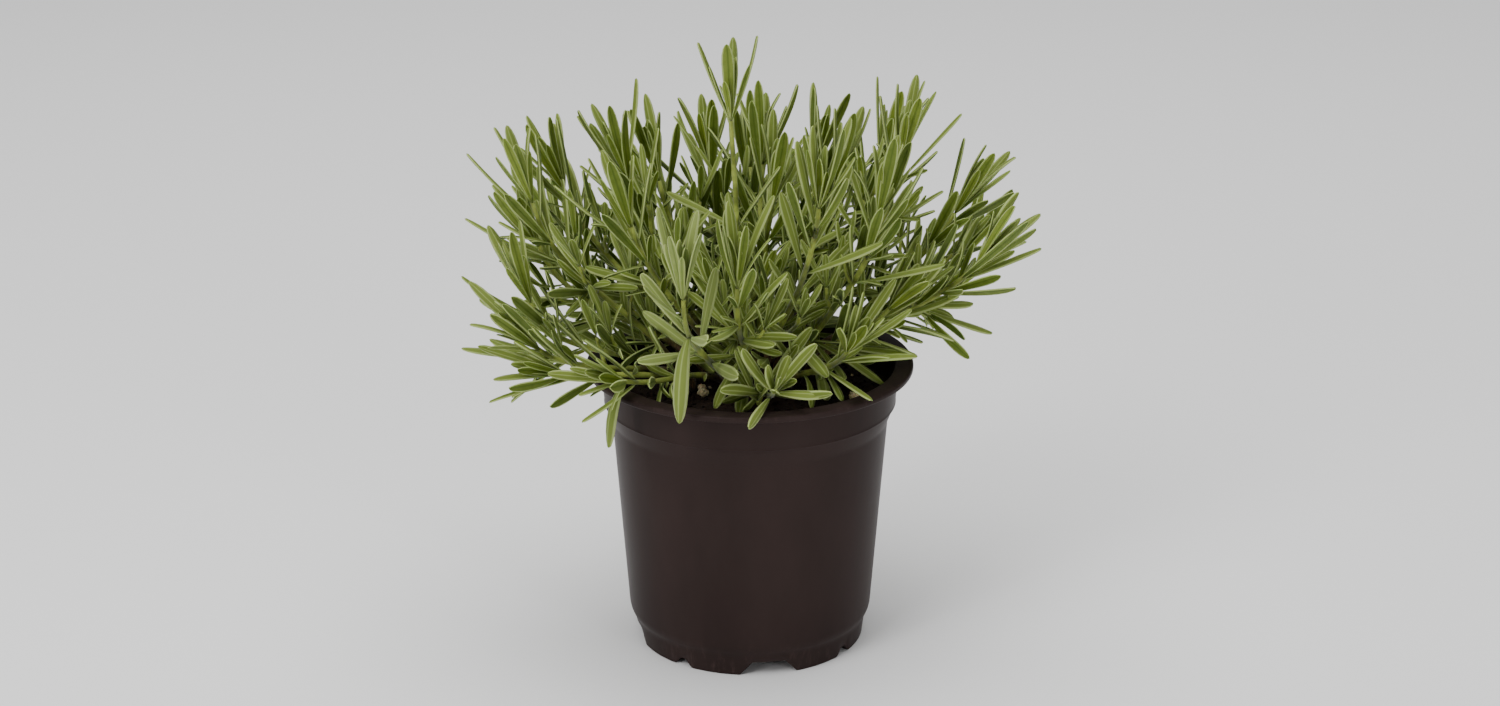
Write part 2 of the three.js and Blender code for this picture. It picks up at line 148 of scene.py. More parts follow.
# ---------------------------------------------------------------- materials


class Value:
    """A number in a material. Arithmetic on it adds Math nodes."""

    def __init__(self, finish, socket):
        self.finish = finish
        self.socket = socket

    def _math(self, operation, *terms):
        node = self.finish.node("ShaderNodeMath", {"operation": operation}, dict(enumerate(terms)))
        return Value(self.finish, node.outputs[0])

    def __add__(self, other):
        return self._math("ADD", self, other)

    def __sub__(self, other):
        return self._math("SUBTRACT", self, other)

    def __rsub__(self, other):
        return self._math("SUBTRACT", other, self)

    def __mul__(self, other):
        return self._math("MULTIPLY", self, other)

    def distance(self, other):
        """How far this is from another value."""
        return self._math("ABSOLUTE", self - other)

    def ramp(self, low, high, first=0.0, last=1.0):
        """Goes smoothly from first to last while this goes from low to high."""
        node = self.finish.node(
            "ShaderNodeMapRange",
            {"interpolation_type": "SMOOTHSTEP"},
            {"Value": self, "From Min": low, "From Max": high, "To Min": first, "To Max": last},
        )
        return Value(self.finish, node.outputs["Result"])


class Finish:
    """A material in the making: one Principled shader, and short ways to add nodes to it."""

    def __init__(self, name, constants):
        self.material = bpy.data.materials.new(name)
        self.material.use_nodes = True
        self.tree = self.material.node_tree
        self.shader = self.tree.nodes["Principled BSDF"]
        for socket, value in constants.items():
            self.shader.inputs[socket].default_value = value

    def connect(self, socket, value):
        """Sets a socket to a number or a colour, or links it."""
        if isinstance(value, Value):
            value = value.socket
        if isinstance(value, bpy.types.NodeSocket):
            self.tree.links.new(value, socket)
        elif hasattr(value, "__len__") and len(value) == 3 and socket.type == "RGBA":
            socket.default_value = (*value, 1)
        else:
            socket.default_value = value

    def node(self, kind, settings=None, sockets=None):
        """Adds a node: first its settings, then its sockets by name or number."""
        node = self.tree.nodes.new(kind)
        for key, value in (settings or {}).items():
            setattr(node, key, value)
        for key, value in (sockets or {}).items():
            self.connect(node.inputs[key], value)
        return node

    def place(self, stretch=(1, 1, 1)):
        """Object coordinates, stretched along each axis."""
        coordinates = self.node("ShaderNodeTexCoord").outputs["Object"]
        mapping = self.node(
            "ShaderNodeMapping", {"vector_type": "TEXTURE"}, {"Vector": coordinates, "Scale": stretch}
        )
        return mapping.outputs["Vector"]

    def noise(self, scale, detail=3.0, where=None, roughness=0.5):
        """Cloudy noise from 0 to 1. scale is in cycles per metre."""
        node = self.node(
            "ShaderNodeTexNoise",
            None,
            {"Vector": where or self.place(), "Scale": scale, "Detail": detail, "Roughness": roughness},
        )
        return Value(self, node.outputs[0])

    def attribute(self, name):
        """A number that the mesh carries at its vertices."""
        node = self.node("ShaderNodeAttribute", {"attribute_name": name})
        return Value(self, node.outputs["Fac"])

    def uv(self):
        """The two coordinates of the piece's UV map."""
        split = self.node(
            "ShaderNodeSeparateXYZ", None, {0: self.node("ShaderNodeUVMap").outputs["UV"]}
        )
        return Value(self, split.outputs[0]), Value(self, split.outputs[1])

    def mix(self, factor, first, second):
        """A colour that goes from first to second with factor."""
        node = self.node(
            "ShaderNodeMix",
            {"data_type": "RGBA"},
            {"Factor": factor, 6: first, 7: second},
        )
        return node.outputs[2]

    def bump(self, height, depth, strength=1.0):
        """Bends the surface's normal by a height of that depth in metres."""
        node = self.node(
            "ShaderNodeBump", None, {"Height": height, "Distance": depth, "Strength": strength}
        )
        self.connect(self.shader.inputs["Normal"], node.outputs["Normal"])

    def base(self, value):
        """Sets the shader's base colour."""
        self.connect(self.shader.inputs["Base Color"], value)

    def rough(self, value):
        """Sets the shader's roughness."""
        self.connect(self.shader.inputs["Roughness"], value)


def scaled(tint, factor):
    """A colour made lighter or darker."""
    return tuple(min(1.0, part * factor) for part in tint)


@functools.cache
def pot_finish():
    """Satin moulded plastic: faint flow clouds, fine grain, scuffs and dust near foot and lip."""
    pot = bpy.context.scene.lavender_pot
    finish = Finish("pot_plastic", {"IOR": 1.12})
    cloud = finish.noise(26, 4, finish.place((1, 1, 2.4)))
    grain = finish.noise(2600, 2)
    height = Value(finish, finish.node(
        "ShaderNodeSeparateXYZ", None, {0: finish.place()}).outputs[2])
    scratch = finish.noise(420, 6, finish.place((1, 1, 7)), 0.7)
    low = height.ramp(0.0, pot.foot * 1.6, 1, 0)
    high = height.ramp(pot.height - 1.5 * pot.lip, pot.height, 0, 0.5)
    dust = scratch.ramp(0.5, 0.74) * (low + high) * 0.5
    body = finish.mix(cloud.ramp(0.3, 0.75), scaled(pot.colour, 0.86), scaled(pot.colour, 1.2))
    finish.base(finish.mix(dust, body, scaled(pot.colour, 3.0)))
    finish.rough(cloud.ramp(0.2, 0.8, 0.33, 0.43) + dust * 0.25)
    finish.bump(grain * 0.35 + cloud * 4.0 + scratch * 0.3, 0.00006, 0.7)
    return finish.material


@functools.cache
def mix_finish():
    """Moist peat: near black with drier brown specks."""
    mix = bpy.context.scene.lavender_mix
    finish = Finish("potting_mix", {"Specular IOR Level": 0.3})
    tone = finish.attribute("tone")
    speck = finish.noise(900, 5, None, 0.65)
    dry = speck.ramp(0.46, 0.72) * 0.6 + tone * 0.55
    finish.base(finish.mix(dry, mix.dark, mix.light))
    finish.rough(speck.ramp(0.3, 0.7, 0.72, 0.97))
    finish.bump(speck, 0.0006, 0.8)
    return finish.material


@functools.cache
def grain_finish():
    """Perlite: porous cream grains with stained patches, darker in their pits."""
    mix = bpy.context.scene.lavender_mix
    finish = Finish("perlite", {"Specular IOR Level": 0.35, "Subsurface Weight": 0.1,
                                "Subsurface Scale": 0.001})
    pores = finish.node("ShaderNodeTexVoronoi", None, {"Vector": finish.place(), "Scale": 1500})
    pore = Value(finish, pores.outputs["Distance"])
    stain = finish.noise(520, 4)
    clean = finish.mix(stain.ramp(0.4, 0.66), mix.grain, scaled(mix.grain, 0.62))
    finish.base(finish.mix(pore.ramp(0.05, 0.35, 0.45, 0), clean, scaled(mix.grain, 0.24)))
    finish.rough(stain.ramp(0.3, 0.7, 0.75, 0.95))
    finish.bump(pore, 0.0004, 0.9)
    return finish.material


@functools.cache
def bark_finish():
    """Bark: brown, streaked along its grain."""
    mix = bpy.context.scene.lavender_mix
    finish = Finish("bark", {"Specular IOR Level": 0.3})
    streak = finish.noise(700, 5, finish.place((1, 4, 1)), 0.7)
    finish.base(finish.mix(streak.ramp(0.35, 0.7), scaled(mix.light, 0.7), scaled(mix.light, 3.4)))
    finish.rough(streak.ramp(0.3, 0.7, 0.7, 0.92))
    finish.bump(streak, 0.0005, 0.9)
    return finish.material


def leaf_like(name, lift):
    """A downy leaf: deep or bright by its tone, greyer with its felt, with a grooved midrib painted
    darker as shade in its groove, pale margins and a grey underside.

    The UV map runs round the leaf's section in U, its upper side from 0 to 0.5, and from the stalk
    to the tip in V. lift makes young leaves brighter.
    """
    plant = bpy.context.scene.lavender_plant
    finish = Finish(name, {
        "Specular IOR Level": 0.2,
        "Sheen Weight": 0.04,
        "Sheen Roughness": 0.5,
        "Subsurface Weight": 0.12,
        "Subsurface Scale": 0.0014,
        "Subsurface Radius": (0.5, 1.0, 0.1),
    })
    around, along = finish.uv()
    felt = finish.attribute("felt")
    blotch = finish.noise(330, 4)
    down = finish.noise(3800, 2, None, 0.6)
    shade = finish.attribute("tone") + lift + (blotch - 0.5) * 0.4 + along.ramp(0.0, 1.0, 0.10, -0.06)
    upper = finish.mix(shade.ramp(0.0, 0.55), plant.deep, plant.green)
    upper = finish.mix(shade.ramp(0.5, 1.05), upper, plant.bright)
    upper = finish.mix(felt * blotch.ramp(0.2, 0.7, 0.7, 1.2), upper, plant.felt)
    from_rib = around.distance(0.25)
    margin = from_rib.ramp(0.12, 0.18)
    # The midrib's groove: it sinks the bump, and is painted darker there as shade.
    groove_and_shade = from_rib.ramp(0.0, 0.05, 1, 0)
    upper = finish.mix(margin * 0.85, upper, plant.margin)
    # Painted shade: the groove along the midrib is darkened towards deep green.
    upper = finish.mix(groove_and_shade * 0.55, upper, scaled(plant.deep, 1.2))
    below = around.ramp(0.495, 0.505)
    from_keel = around.distance(0.75)
    keel = from_keel.ramp(0.0, 0.035, 1, 0)
    lower = finish.mix(shade.ramp(0.0, 0.9, 0.75, 0.2), plant.under, plant.green)
    lower = finish.mix(felt * 0.7, lower, plant.felt)
    lower = finish.mix(from_keel.ramp(0.13, 0.2) * 0.85 + keel * 0.45, lower, plant.margin)
    finish.base(finish.mix(below, upper, lower))
    finish.rough(down.ramp(0.3, 0.7, 0.5, 0.68) + below * 0.12)
    finish.bump(down * 0.25 + blotch * 0.4 + (1 - groove_and_shade) * 0.8, 0.00012, 0.75)
    return finish.material


@functools.cache
def leaf_finish():
    """Full-grown leaves."""
    return leaf_like("leaf", 0.0)


@functools.cache
def young_finish():
    """Young leaves at the tips, paler than the others."""
    return leaf_like("young_leaf", 0.12)


@functools.cache
def stem_finish():
    """Green stem with fine ridges and down, turning to bark at its foot."""
    plant = bpy.context.scene.lavender_plant
    finish = Finish("stem", {"Specular IOR Level": 0.35, "Sheen Weight": 0.2, "Sheen Roughness": 0.5,
                             "Subsurface Weight": 0.08, "Subsurface Scale": 0.001})
    age = finish.attribute("age")
    cloud = finish.noise(260, 4)
    fine = finish.noise(2400, 3, finish.place((1, 1, 5)))
    old = (age + (cloud - 0.5) * 0.5).ramp(0.25, 0.75)
    green = finish.mix(cloud.ramp(0.35, 0.65), plant.stem, scaled(plant.stem, 0.66))
    bark = finish.mix(fine.ramp(0.35, 0.65), scaled(plant.wood, 0.6), scaled(plant.wood, 1.5))
    finish.base(finish.mix(old, green, bark))
    finish.rough(fine.ramp(0.3, 0.7, 0.5, 0.75) + old * 0.15)
    finish.bump(fine + cloud, 0.00015, 0.8)
    return finish.material


# ---------------------------------------------------------------- mesh helpers


def put(name, data):
    """Adds an object to the scene."""
    made = bpy.data.objects.new(name, data)
    bpy.context.scene.collection.objects.link(made)
    return made


def mesh_of(name, bm):
    """Turns a bmesh into a mesh."""
    mesh = bpy.data.meshes.new(name)
    bm.to_mesh(mesh)
    bm.free()
    return mesh


def piece(name, bm, finish, nodes=(), smooth=True):
    """Turns a bmesh into an object that rides with the pot and stands for CAD nodes."""
    for face in bm.faces:
        face.smooth = smooth
    made = put(name, mesh_of(name, bm))
    made.data.materials.append(finish)
    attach(made, "root")
    if nodes:
        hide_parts(*nodes)
    return made


def pointing(bearing):
    """The level direction at a bearing in degrees."""
    turn = math.radians(bearing)
    return Vector((math.cos(turn), math.sin(turn), 0))


FILLET_STEPS = 4


def filleted(corners):
    """An outline whose corners are rounded. Each corner is (radius, height, fillet)."""
    outline = []
    for i, (radius, height, fillet) in enumerate(corners):
        here = Vector((radius, height))
        if fillet == 0:
            outline.append(here)
            continue
        start = here + (Vector(corners[i - 1][:2]) - here).normalized() * fillet
        end = here + (Vector(corners[i + 1][:2]) - here).normalized() * fillet
        for k in range(FILLET_STEPS + 1):
            t = k / FILLET_STEPS
            outline.append(start * (1 - t) ** 2 + here * (2 * t * (1 - t)) + end * t * t)
    return outline


def turned(outline, steps):
    """Spins an outline of (radius, height) points, from axis to axis, into a closed solid."""
    bm = bmesh.new()
    points = [bm.verts.new((radius, 0, height)) for radius, height in outline]
    edges = [bm.edges.new(pair) for pair in zip(points, points[1:])]
    bmesh.ops.spin(
        bm, geom=points + edges, cent=(0, 0, 0), axis=UP, angle=math.tau, steps=steps, use_merge=True
    )
    bmesh.ops.remove_doubles(bm, verts=bm.verts, dist=1e-6)
    bmesh.ops.recalc_face_normals(bm, faces=bm.faces)
    return bm


def section_frame(centre, across, along, radius):
    """The matrix that puts a unit circle square across a path."""
    side = (across - along * across.dot(along)).normalized()
    normal = along.cross(side)
    turn = Matrix((side, normal, along)).transposed().to_4x4()
    return Matrix.Translation(centre) @ turn @ Matrix.Diagonal((radius, radius, radius, 1))


def sweep(bm, path, radii, sides, across):
    """Extrudes a circle along a path, with a radius at each point. Gives the rings of vertices."""
    before = len(bm.faces)
    rings = []
    first = bmesh.ops.create_circle(bm, cap_ends=True, segments=sides, radius=1)["verts"]
    cap = first[0].link_faces[0]
    last = Matrix.Identity(4)
    for i, (point, radius) in enumerate(zip(path, radii)):
        along = (path[min(i + 1, len(path) - 1)] - path[max(i - 1, 0)]).normalized()
        here = section_frame(point, across, along, radius)
        if i:
            out = bmesh.ops.extrude_face_region(bm, geom=[cap])["geom"]
            cap = next(item for item in out if isinstance(item, bmesh.types.BMFace))
        bmesh.ops.transform(bm, matrix=here @ last.inverted(), verts=cap.verts)
        rings.append(list(cap.verts))
        last = here
    bm.faces.ensure_lookup_table()
    bmesh.ops.recalc_face_normals(bm, faces=bm.faces[before:])
    return rings


def lump(bm, centre, size, subdivisions, roughness, seed, layer=None, tone=0.0):
    """A rough pebble or crumb of a given size along each axis."""
    matrix = Matrix.Translation(centre) @ Matrix.Rotation(seed * 2.399, 4, Vector((0.3, 0.5, 1)))
    matrix = matrix @ Matrix.Diagonal((*size, 1))
    made = bmesh.ops.create_icosphere(bm, subdivisions=subdivisions, radius=0.5, matrix=matrix)
    for vertex in made["verts"]:
        out = vertex.co - centre
        swell = noise.noise(out.normalized() * 2.1 + Vector((seed, 0, 0)))
        swell += 0.5 * noise.noise(out.normalized() * 5.3 + Vector((0, seed, 0)))
        vertex.co = centre + out * (1 + roughness * swell)
        if layer:
            vertex[layer] = tone


# ---------------------------------------------------------------- pot

# The notches under the foot ring: bearing of the first, mouth, top and height in mm
NOTCH_COUNT = 4
NOTCHES = ((-80.5, 22.0, 12.5, 5.1), (-35.5, 7.4, 2.6, 3.0))
FOOT_INSET = 1.8 * MM
FOOT_DRAFT = 1.0 * MM
FOOT_WIDTH = 2.4 * MM
BODY_DRAFT = 5.6 * MM
COLLAR_DRAFT = 1.1 * MM
STEP_HEIGHT = 6 * MM
FLOOR_THICKNESS = 1.8 * MM
DRAIN_RADIUS = 4.5 * MM
DRAIN_REACH = 30 * MM
DRAIN_SIDES = 40
NOTCH_ZONE = 0.62  # share of the foot's height that the notches raise
BEAD = 0.5 * MM  # the fine bead along the collar's lower edge
POT_STEPS = 288

PotShape = namedtuple(
    "PotShape", "rim collar step body base foot lip_low step_top step_low floor"
)


def pot_shape():
    """The pot's main radii and heights, in metres."""
    pot = bpy.context.scene.lavender_pot
    collar = pot.rim_radius - pot.overhang
    step = collar - COLLAR_DRAFT
    body = step - pot.step
    base = body - BODY_DRAFT
    lip_low = pot.height - pot.lip
    step_top = lip_low - pot.collar
    floor = pot.foot + 0.6 * MM
    return PotShape(pot.rim_radius, collar, step, body, base, base - FOOT_INSET, lip_low, step_top,
                    step_top - STEP_HEIGHT, floor)


def pot_outline():
    """Half a section through the pot, from the underside of its floor round to the upper side."""
    pot = bpy.context.scene.lavender_pot
    at = pot_shape()
    wall = pot.wall
    ring = at.foot - FOOT_DRAFT
    return filleted([
        (0, at.floor - FLOOR_THICKNESS, 0),
        (at.foot - FOOT_WIDTH, at.floor - FLOOR_THICKNESS, 0.8 * MM),
        (ring - FOOT_WIDTH, 0.0, 0.35 * MM),
        (ring, 0.0, 0.4 * MM),
        (at.foot, pot.foot - 2.4 * MM, 1.6 * MM),
        (at.base, pot.foot + 0.8 * MM, 1.8 * MM),
        (at.body, at.step_low, 1.0 * MM),
        (at.step - BEAD, at.step_top - 0.1 * MM, 0.25 * MM),
        (at.step - BEAD / 2, at.step_top + 0.45 * MM, 0.2 * MM),
        (at.step + BEAD / 2, at.step_top + 0.55 * MM, 0.3 * MM),
        (at.step + 0.1 * MM, at.step_top + 1.5 * MM, 0.6 * MM),
        (at.collar, at.lip_low, 0.9 * MM),
        (at.rim, at.lip_low - 0.15 * MM, 0.8 * MM),
        (at.rim, pot.height, 0.95 * MM),
        (at.collar - wall, pot.height - 0.1 * MM, 1.1 * MM),
        (at.step - wall, at.step_top, 0.8 * MM),
        (at.body - wall, at.step_low, 0.8 * MM),
        (at.base - wall, at.floor, 1.2 * MM),
        (0, at.floor, 0),
    ])


def notch_lift(bearing):
    """How high the foot ring's lower edge lies at a bearing in degrees, in metres."""
    at = pot_shape()
    lift = 0.0
    for first, mouth, top, height in NOTCHES:
        pitch = 360 / NOTCH_COUNT
        off = abs((bearing - first + pitch / 2) % pitch - pitch / 2)
        out = math.radians(off) * at.foot / MM
        slope = (mouth - top) / 2
        lift = max(lift, height * min(1.0, max(0.0, (mouth / 2 - out) / slope)))
    return lift * MM


def cut_notches(bm):
    """Raises the foot ring's lower edge into the notches that let water out."""
    zone = bpy.context.scene.lavender_pot.foot * NOTCH_ZONE
    for vertex in bm.verts:
        if vertex.co.z < zone:
            bearing = math.degrees(math.atan2(vertex.co.y, vertex.co.x))
            vertex.co.z += notch_lift(bearing) * (1 - vertex.co.z / zone)


def cut_drains(pot):
    """Cuts the round drain holes through the raised floor."""
    at = pot_shape()
    bm = bmesh.new()
    for i in range(NOTCH_COUNT):
        centre = pointing(NOTCHES[0][0] + 360 / NOTCH_COUNT * i) * DRAIN_REACH
        centre.z = at.floor
        bmesh.ops.create_cone(
            bm, cap_ends=True, segments=DRAIN_SIDES, radius1=DRAIN_RADIUS, radius2=DRAIN_RADIUS,
            depth=FLOOR_THICKNESS * 4, matrix=Matrix.Translation(centre),
        )
    cutter = put("drain_cutter", mesh_of("drain_cutter", bm))
    holes = pot.modifiers.new("drains", "BOOLEAN")
    holes.object = cutter
    holes.operation = "DIFFERENCE"
    holes.solver = "EXACT"
    evaluated = pot.evaluated_get(bpy.context.evaluated_depsgraph_get())
    cut = bpy.data.meshes.new_from_object(evaluated)
    pot.modifiers.clear()
    pot.data = cut
    cut.name = "nursery_pot"
    bpy.data.objects.remove(cutter)


class LAVENDER_OT_pot(bpy.types.Operator):
    """Make the nursery pot: lip, collar, step, body, notched foot ring and drained floor"""

    bl_idname = "lavender.pot"
    bl_label = "Nursery Pot"

    def execute(self, context):
        bm = turned(pot_outline(), POT_STEPS)
        cut_notches(bm)
        pot = piece("pot_shell", bm, pot_finish(), ["nursery_pot"])
        cut_drains(pot)
        return {"FINISHED"}


# ---------------------------------------------------------------- potting mix

MIX_CROWN = 3.5  # how much higher the middle of the mix lies than its edge, mm
MIX_BELOW_RIM = 12.0
TOP_RINGS = 34
MIX_STEPS = 150
FIBRE_STEPS = 6
FIBRE_RADIUS = 0.14 * MM
FIBRE_SPAN = (3, 9)
FIBRE_TONE = 1.4  # paler than the driest crumb
CRUMB_SIZE = (0.9, 2.2)
BIG_CRUMB_SIZE = (2.4, 4.2)
BIG_CRUMB_EVERY = 7
FINE_SIZE = (0.9, 2.6)


def mix_radius():
    """Radius of the mix's top, in mm."""
    pot = bpy.context.scene.lavender_pot
    return (pot_shape().collar - pot.wall - COLLAR_DRAFT) / MM - CLEARANCE


def mix_level(radius):
    """Height of the smooth mix at a distance from the axis, in mm."""
    edge = bpy.context.scene.lavender_pot.height / MM - MIX_BELOW_RIM
    return edge + MIX_CROWN * (1 - radius / mix_radius())


def ground(x, y):
    """Height of the lumpy mix at a place, in mm."""
    radius = math.hypot(x, y)
    spot = Vector((x, y, 0))
    lumps = 1.3 * noise.noise(spot / 9.0) + 0.8 * noise.noise(spot / 3.4 + Vector((7, 0, 0)))
    lumps += 0.45 * noise.noise(spot / 1.5 + Vector((0, 5, 0)))
    return mix_level(radius) + lumps


def mix_body():
    """The block of mix: a lumpy top on a plain body that fills the pot."""
    at = pot_shape()
    gap = bpy.context.scene.lavender_pot.wall + CLEARANCE * MM
    top = mix_radius() * MM
    outline = [
        (0, at.floor + CLEARANCE * MM),
        (at.base - gap, at.floor + CLEARANCE * MM),
        (at.body - gap, at.step_low),
        (at.step - gap, at.step_top),
    ]
    for ring in range(TOP_RINGS + 1):
        radius = top * (1 - ring / TOP_RINGS)
        outline.append((radius, mix_level(radius / MM) * MM))
    bm = turned(outline, MIX_STEPS)
    layer = bm.verts.layers.float.new("tone")
    for vertex in bm.verts:
        radius = math.hypot(vertex.co.x, vertex.co.y)
        if vertex.co.z > at.step_top + 0.5 * MM:
            rise = ground(vertex.co.x / MM, vertex.co.y / MM) * MM
            hold = min(1.0, (top - radius) / (2 * MM))
            vertex.co.z += (rise - vertex.co.z) * hold
        vertex[layer] = 0.5 + 0.5 * noise.noise(vertex.co / (6 * MM))
    return bm


def scatter(draw, count, reach=0.97):
    """Random places on the mix, even over its area, in mm."""
    for _ in range(count):
        radius = mix_radius() * reach * math.sqrt(draw.random())
        bearing = draw.uniform(0, math.tau)
        yield radius * math.cos(bearing), radius * math.sin(bearing)


def peat_crumbs(mix):
    """Loose crumbs and flakes of peat and bark."""
    draw = random.Random(4)
    bm = bmesh.new()
    layer = bm.verts.layers.float.new("tone")
    for i, (x, y) in enumerate(scatter(draw, mix.crumbs)):
        size = draw.uniform(*(CRUMB_SIZE if i % BIG_CRUMB_EVERY else BIG_CRUMB_SIZE))
        flat = draw.uniform(0.45, 0.9)
        shape = Vector((size, size * draw.uniform(0.5, 1), size * flat)) * MM
        centre = Vector((x, y, ground(x, y) + size * flat * 0.15)) * MM
        lump(bm, centre, shape, 1, 0.5, i * 0.73, layer, draw.random() ** 2)
    return bm


def root_fibres(mix):
    """Fine dry roots that curl over the mix."""
    draw = random.Random(9)
    bm = bmesh.new()
    layer = bm.verts.layers.float.new("tone")
    for x, y in scatter(draw, mix.fibres, 0.88):
        bearing = draw.uniform(0, math.tau)
        span = draw.uniform(*FIBRE_SPAN)
        bend = draw.uniform(-0.9, 0.9)
        path = []
        for k in range(FIBRE_STEPS + 1):
            turn = bearing + bend * k / FIBRE_STEPS
            x += math.cos(turn) * span / FIBRE_STEPS
            y += math.sin(turn) * span / FIBRE_STEPS
            arch = 1.1 * math.sin(math.pi * k / FIBRE_STEPS)
            if math.hypot(x, y) > mix_radius() - 1:
                break
            path.append(Vector((x, y, ground(x, y) + 0.25 + arch)) * MM)
        if len(path) < 3:
            continue
        across = UP.cross(path[1] - path[0]).normalized()
        rings = sweep(bm, path, [FIBRE_RADIUS] * len(path), 4, across)
        for vertex in (v for ring in rings for v in ring):
            vertex[layer] = FIBRE_TONE
    return bm


class LAVENDER_OT_mix(bpy.types.Operator):
    """Make the potting mix with its crumbs and fine roots"""

    bl_idname = "lavender.mix"
    bl_label = "Potting Mix"

    def execute(self, context):
        mix = context.scene.lavender_mix
        piece("mix_body", mix_body(), mix_finish(), ["potting_mix"])
        piece("mix_crumbs", peat_crumbs(mix), mix_finish(), smooth=False)
        piece("mix_fibres", root_fibres(mix), mix_finish())
        return {"FINISHED"}


def nodes_named(start):
    """The CAD nodes whose names start so, in order."""
    return sorted(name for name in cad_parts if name.startswith(start))


def middle_of(node):
    """Middle and size of a CAD node's box."""
    low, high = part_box(node)
    return (low + high) / 2, high - low


class LAVENDER_OT_grains(bpy.types.Operator):
    """Make the perlite grains and bark chips that lie on the mix"""

    bl_idname = "lavender.grains"
    bl_label = "Perlite and Bark"

    def execute(self, context):
        for name in nodes_named("perlite_"):
            centre, size = middle_of(name)
            bm = bmesh.new()
            lump(bm, centre, size * 1.02, 5, roughness=0.32, seed=len(name) + centre.x * 900)
            piece(name + "_grain", bm, grain_finish(), [name])
        for name in nodes_named("bark_chip_"):
            centre, size = middle_of(name)
            bm = bmesh.new()
            lump(bm, centre, size * 0.98, 4, roughness=0.4, seed=3 + centre.y * 700)
            piece(name + "_flake", bm, bark_finish(), [name])
        draw = random.Random(12)
        fines = bmesh.new()
        for i, (x, y) in enumerate(scatter(draw, context.scene.lavender_mix.fines, 0.93)):
            size = draw.uniform(*FINE_SIZE)
            shape = Vector((size, size * draw.uniform(0.6, 1), size * 0.7)) * MM
            centre = Vector((x, y, ground(x, y) + size * 0.22)) * MM
            lump(fines, centre, shape, 3, roughness=0.45, seed=i * 1.31)
        beside, size = middle_of("perlite_1")
        lump(fines, beside + Vector((-0.6, 4.2, 0.4)) * MM, size * 0.8, 4, roughness=0.35, seed=5.0)
        piece("perlite_fines", fines, grain_finish())
        return {"FINISHED"}


# ---------------------------------------------------------------- plant: where things grow

BUSH_WIDTH = 202.0
BUSH_DEPTH = 178.0
BUSH_HEIGHT = 124.0  # above the rim
FOOT_SPREAD = 0.27
BUD_DIAMETER = 3.0
TOP_SPACING = 6.0  # from a stem's tip down to its first pair of leaves
ABOVE_MIX = 7.0  # how far the small leaves keep above the mix and the rim
OWN_CROWNS = 19  # the first shoots, whose crowns are pieces of their own
ANKLE = 0.25  # how far a stem goes straight up from its foot, as a share of its span
KNEE = 0.36  # how far it leans before its tip, as a share of its span
WALK_STEPS = 200  # even steps in which a curve's length is measured
TWIG_RADII = (0.8, 0.6)
TWIGS_BELOW = 24  # how far below a stem's tip the first twigs stand
BUNCHES_BELOW = 12  # how far below it the axils hold more than one small leaf
WIDE_OPEN = 1.8  # crowns that open this far hold no small leaves
TWIG_SEED = 400
GOLDEN_ANGLE = 137.5

# Where each stem ends: bearing in degrees, reach and rise as shares of the bush, lean of the tip from
# upright in degrees, how far its crown opens, and how pale its leaves are
SHOOTS = (
    (-118, 0.14, 0.745, 6, 1.0, 0.10),
    (-178, 0.765, 0.50, 14, 1.0, 0.12),
    (166, 0.68, 0.50, 22, 1.0, 0.0),
    (154, 0.49, 0.53, 19, 1.0, 0.0),
    (134, 0.47, 0.49, 18, 1.0, 0.0),
    (108, 0.48, 0.51, 17, 1.0, 0.0),
    (82, 0.32, 0.54, 14, 1.0, 0.0),
    (62, 0.50, 0.50, 19, 1.0, 0.0),
    (46, 0.69, 0.50, 23, 1.0, 0.0),
    (-57, 0.43, 0.55, 8, 1.0, 0.04),
    (4, 0.53, 0.60, 8, 1.0, 0.04),
    (14, 0.75, 0.43, 35, 1.0, 0.04),
    (-3, 0.79, 0.33, 44, 1.0, 0.10),
    (-28, 0.50, 0.50, 8, 1.0, 0.02),
    (176, 0.75, 0.36, 22, 1.0, 0.08),
    (-110, 0.66, 0.355, 6, 1.0, 0.40),
    (-95, 0.50, 0.36, 8, 1.0, 0.0),
    (-170, 0.785, 0.24, 16, 1.0, 0.10),
    (90, 0.7, 0.46, 24, 1.0, 0.0),
    (-156, 0.45, 0.47, 16, 1.0, 0.0),
    (34, 0.37, 0.52, 16, 1.0, 0.0),
    (-14, 0.50, 0.23, 38, 1.2, 0.0),
    (-160, 0.78, 0.15, 50, 1.0, 0.10),
    (-153, 0.72, 0.10, 75, 1.2, 0.0),
    (-82, 0.58, 0.11, 50, 2.2, 0.0),
    (-48, 0.50, 0.17, 36, 1.5, 0.0),
    (-134, 0.62, 0.11, 68, 1.5, 0.0),
    (20, 0.08, 0.50, 8, 1.0, 0.0),
    (120, 0.765, 0.33, 27, 1.0, 0.0),
    (66, 0.76, 0.34, 29, 1.0, 0.0),
    (146, 0.83, 0.29, 34, 1.0, 0.0),
    (30, 0.885, 0.24, 38, 1.0, 0.0),
    (100, 0.62, 0.12, 50, 1.2, 0.0),
)

# Length of stem under the crown that carries no leaves, in mm, for the shoots that have one, and the
# length that carries no twigs or small leaves
BARE = {1: 26.0}
CLEAN = {1: 55.0, 10: 45.0, 16: 60.0}

Stem = namedtuple("Stem", "points across length foot_radius tip_radius")
Leaf = namedtuple("Leaf", "points across length width tone felt twist nod")

STRIDES = tuple(math.sqrt(prime) for prime in (2, 3, 5, 7, 11))


def vary(seed, kind):
    """An even spread of values from -1 to 1, the same on every run."""
    turn = (seed + 1) * STRIDES[kind]
    return 2 * (turn - math.floor(turn)) - 1


def tilted(outward, degrees):
    """A direction that leans outward from upright."""
    return outward * math.sin(math.radians(degrees)) + UP * math.cos(math.radians(degrees))


def bezier(points, t):
    """A point on a curve with three or four control points."""
    while len(points) > 1:
        points = [a.lerp(b, t) for a, b in zip(points, points[1:])]
    return points[0]


def heading_at(points, t):
    """The direction of a curve with three or four control points."""
    steps = [b - a for a, b in zip(points, points[1:])]
    return bezier(steps, t).normalized()


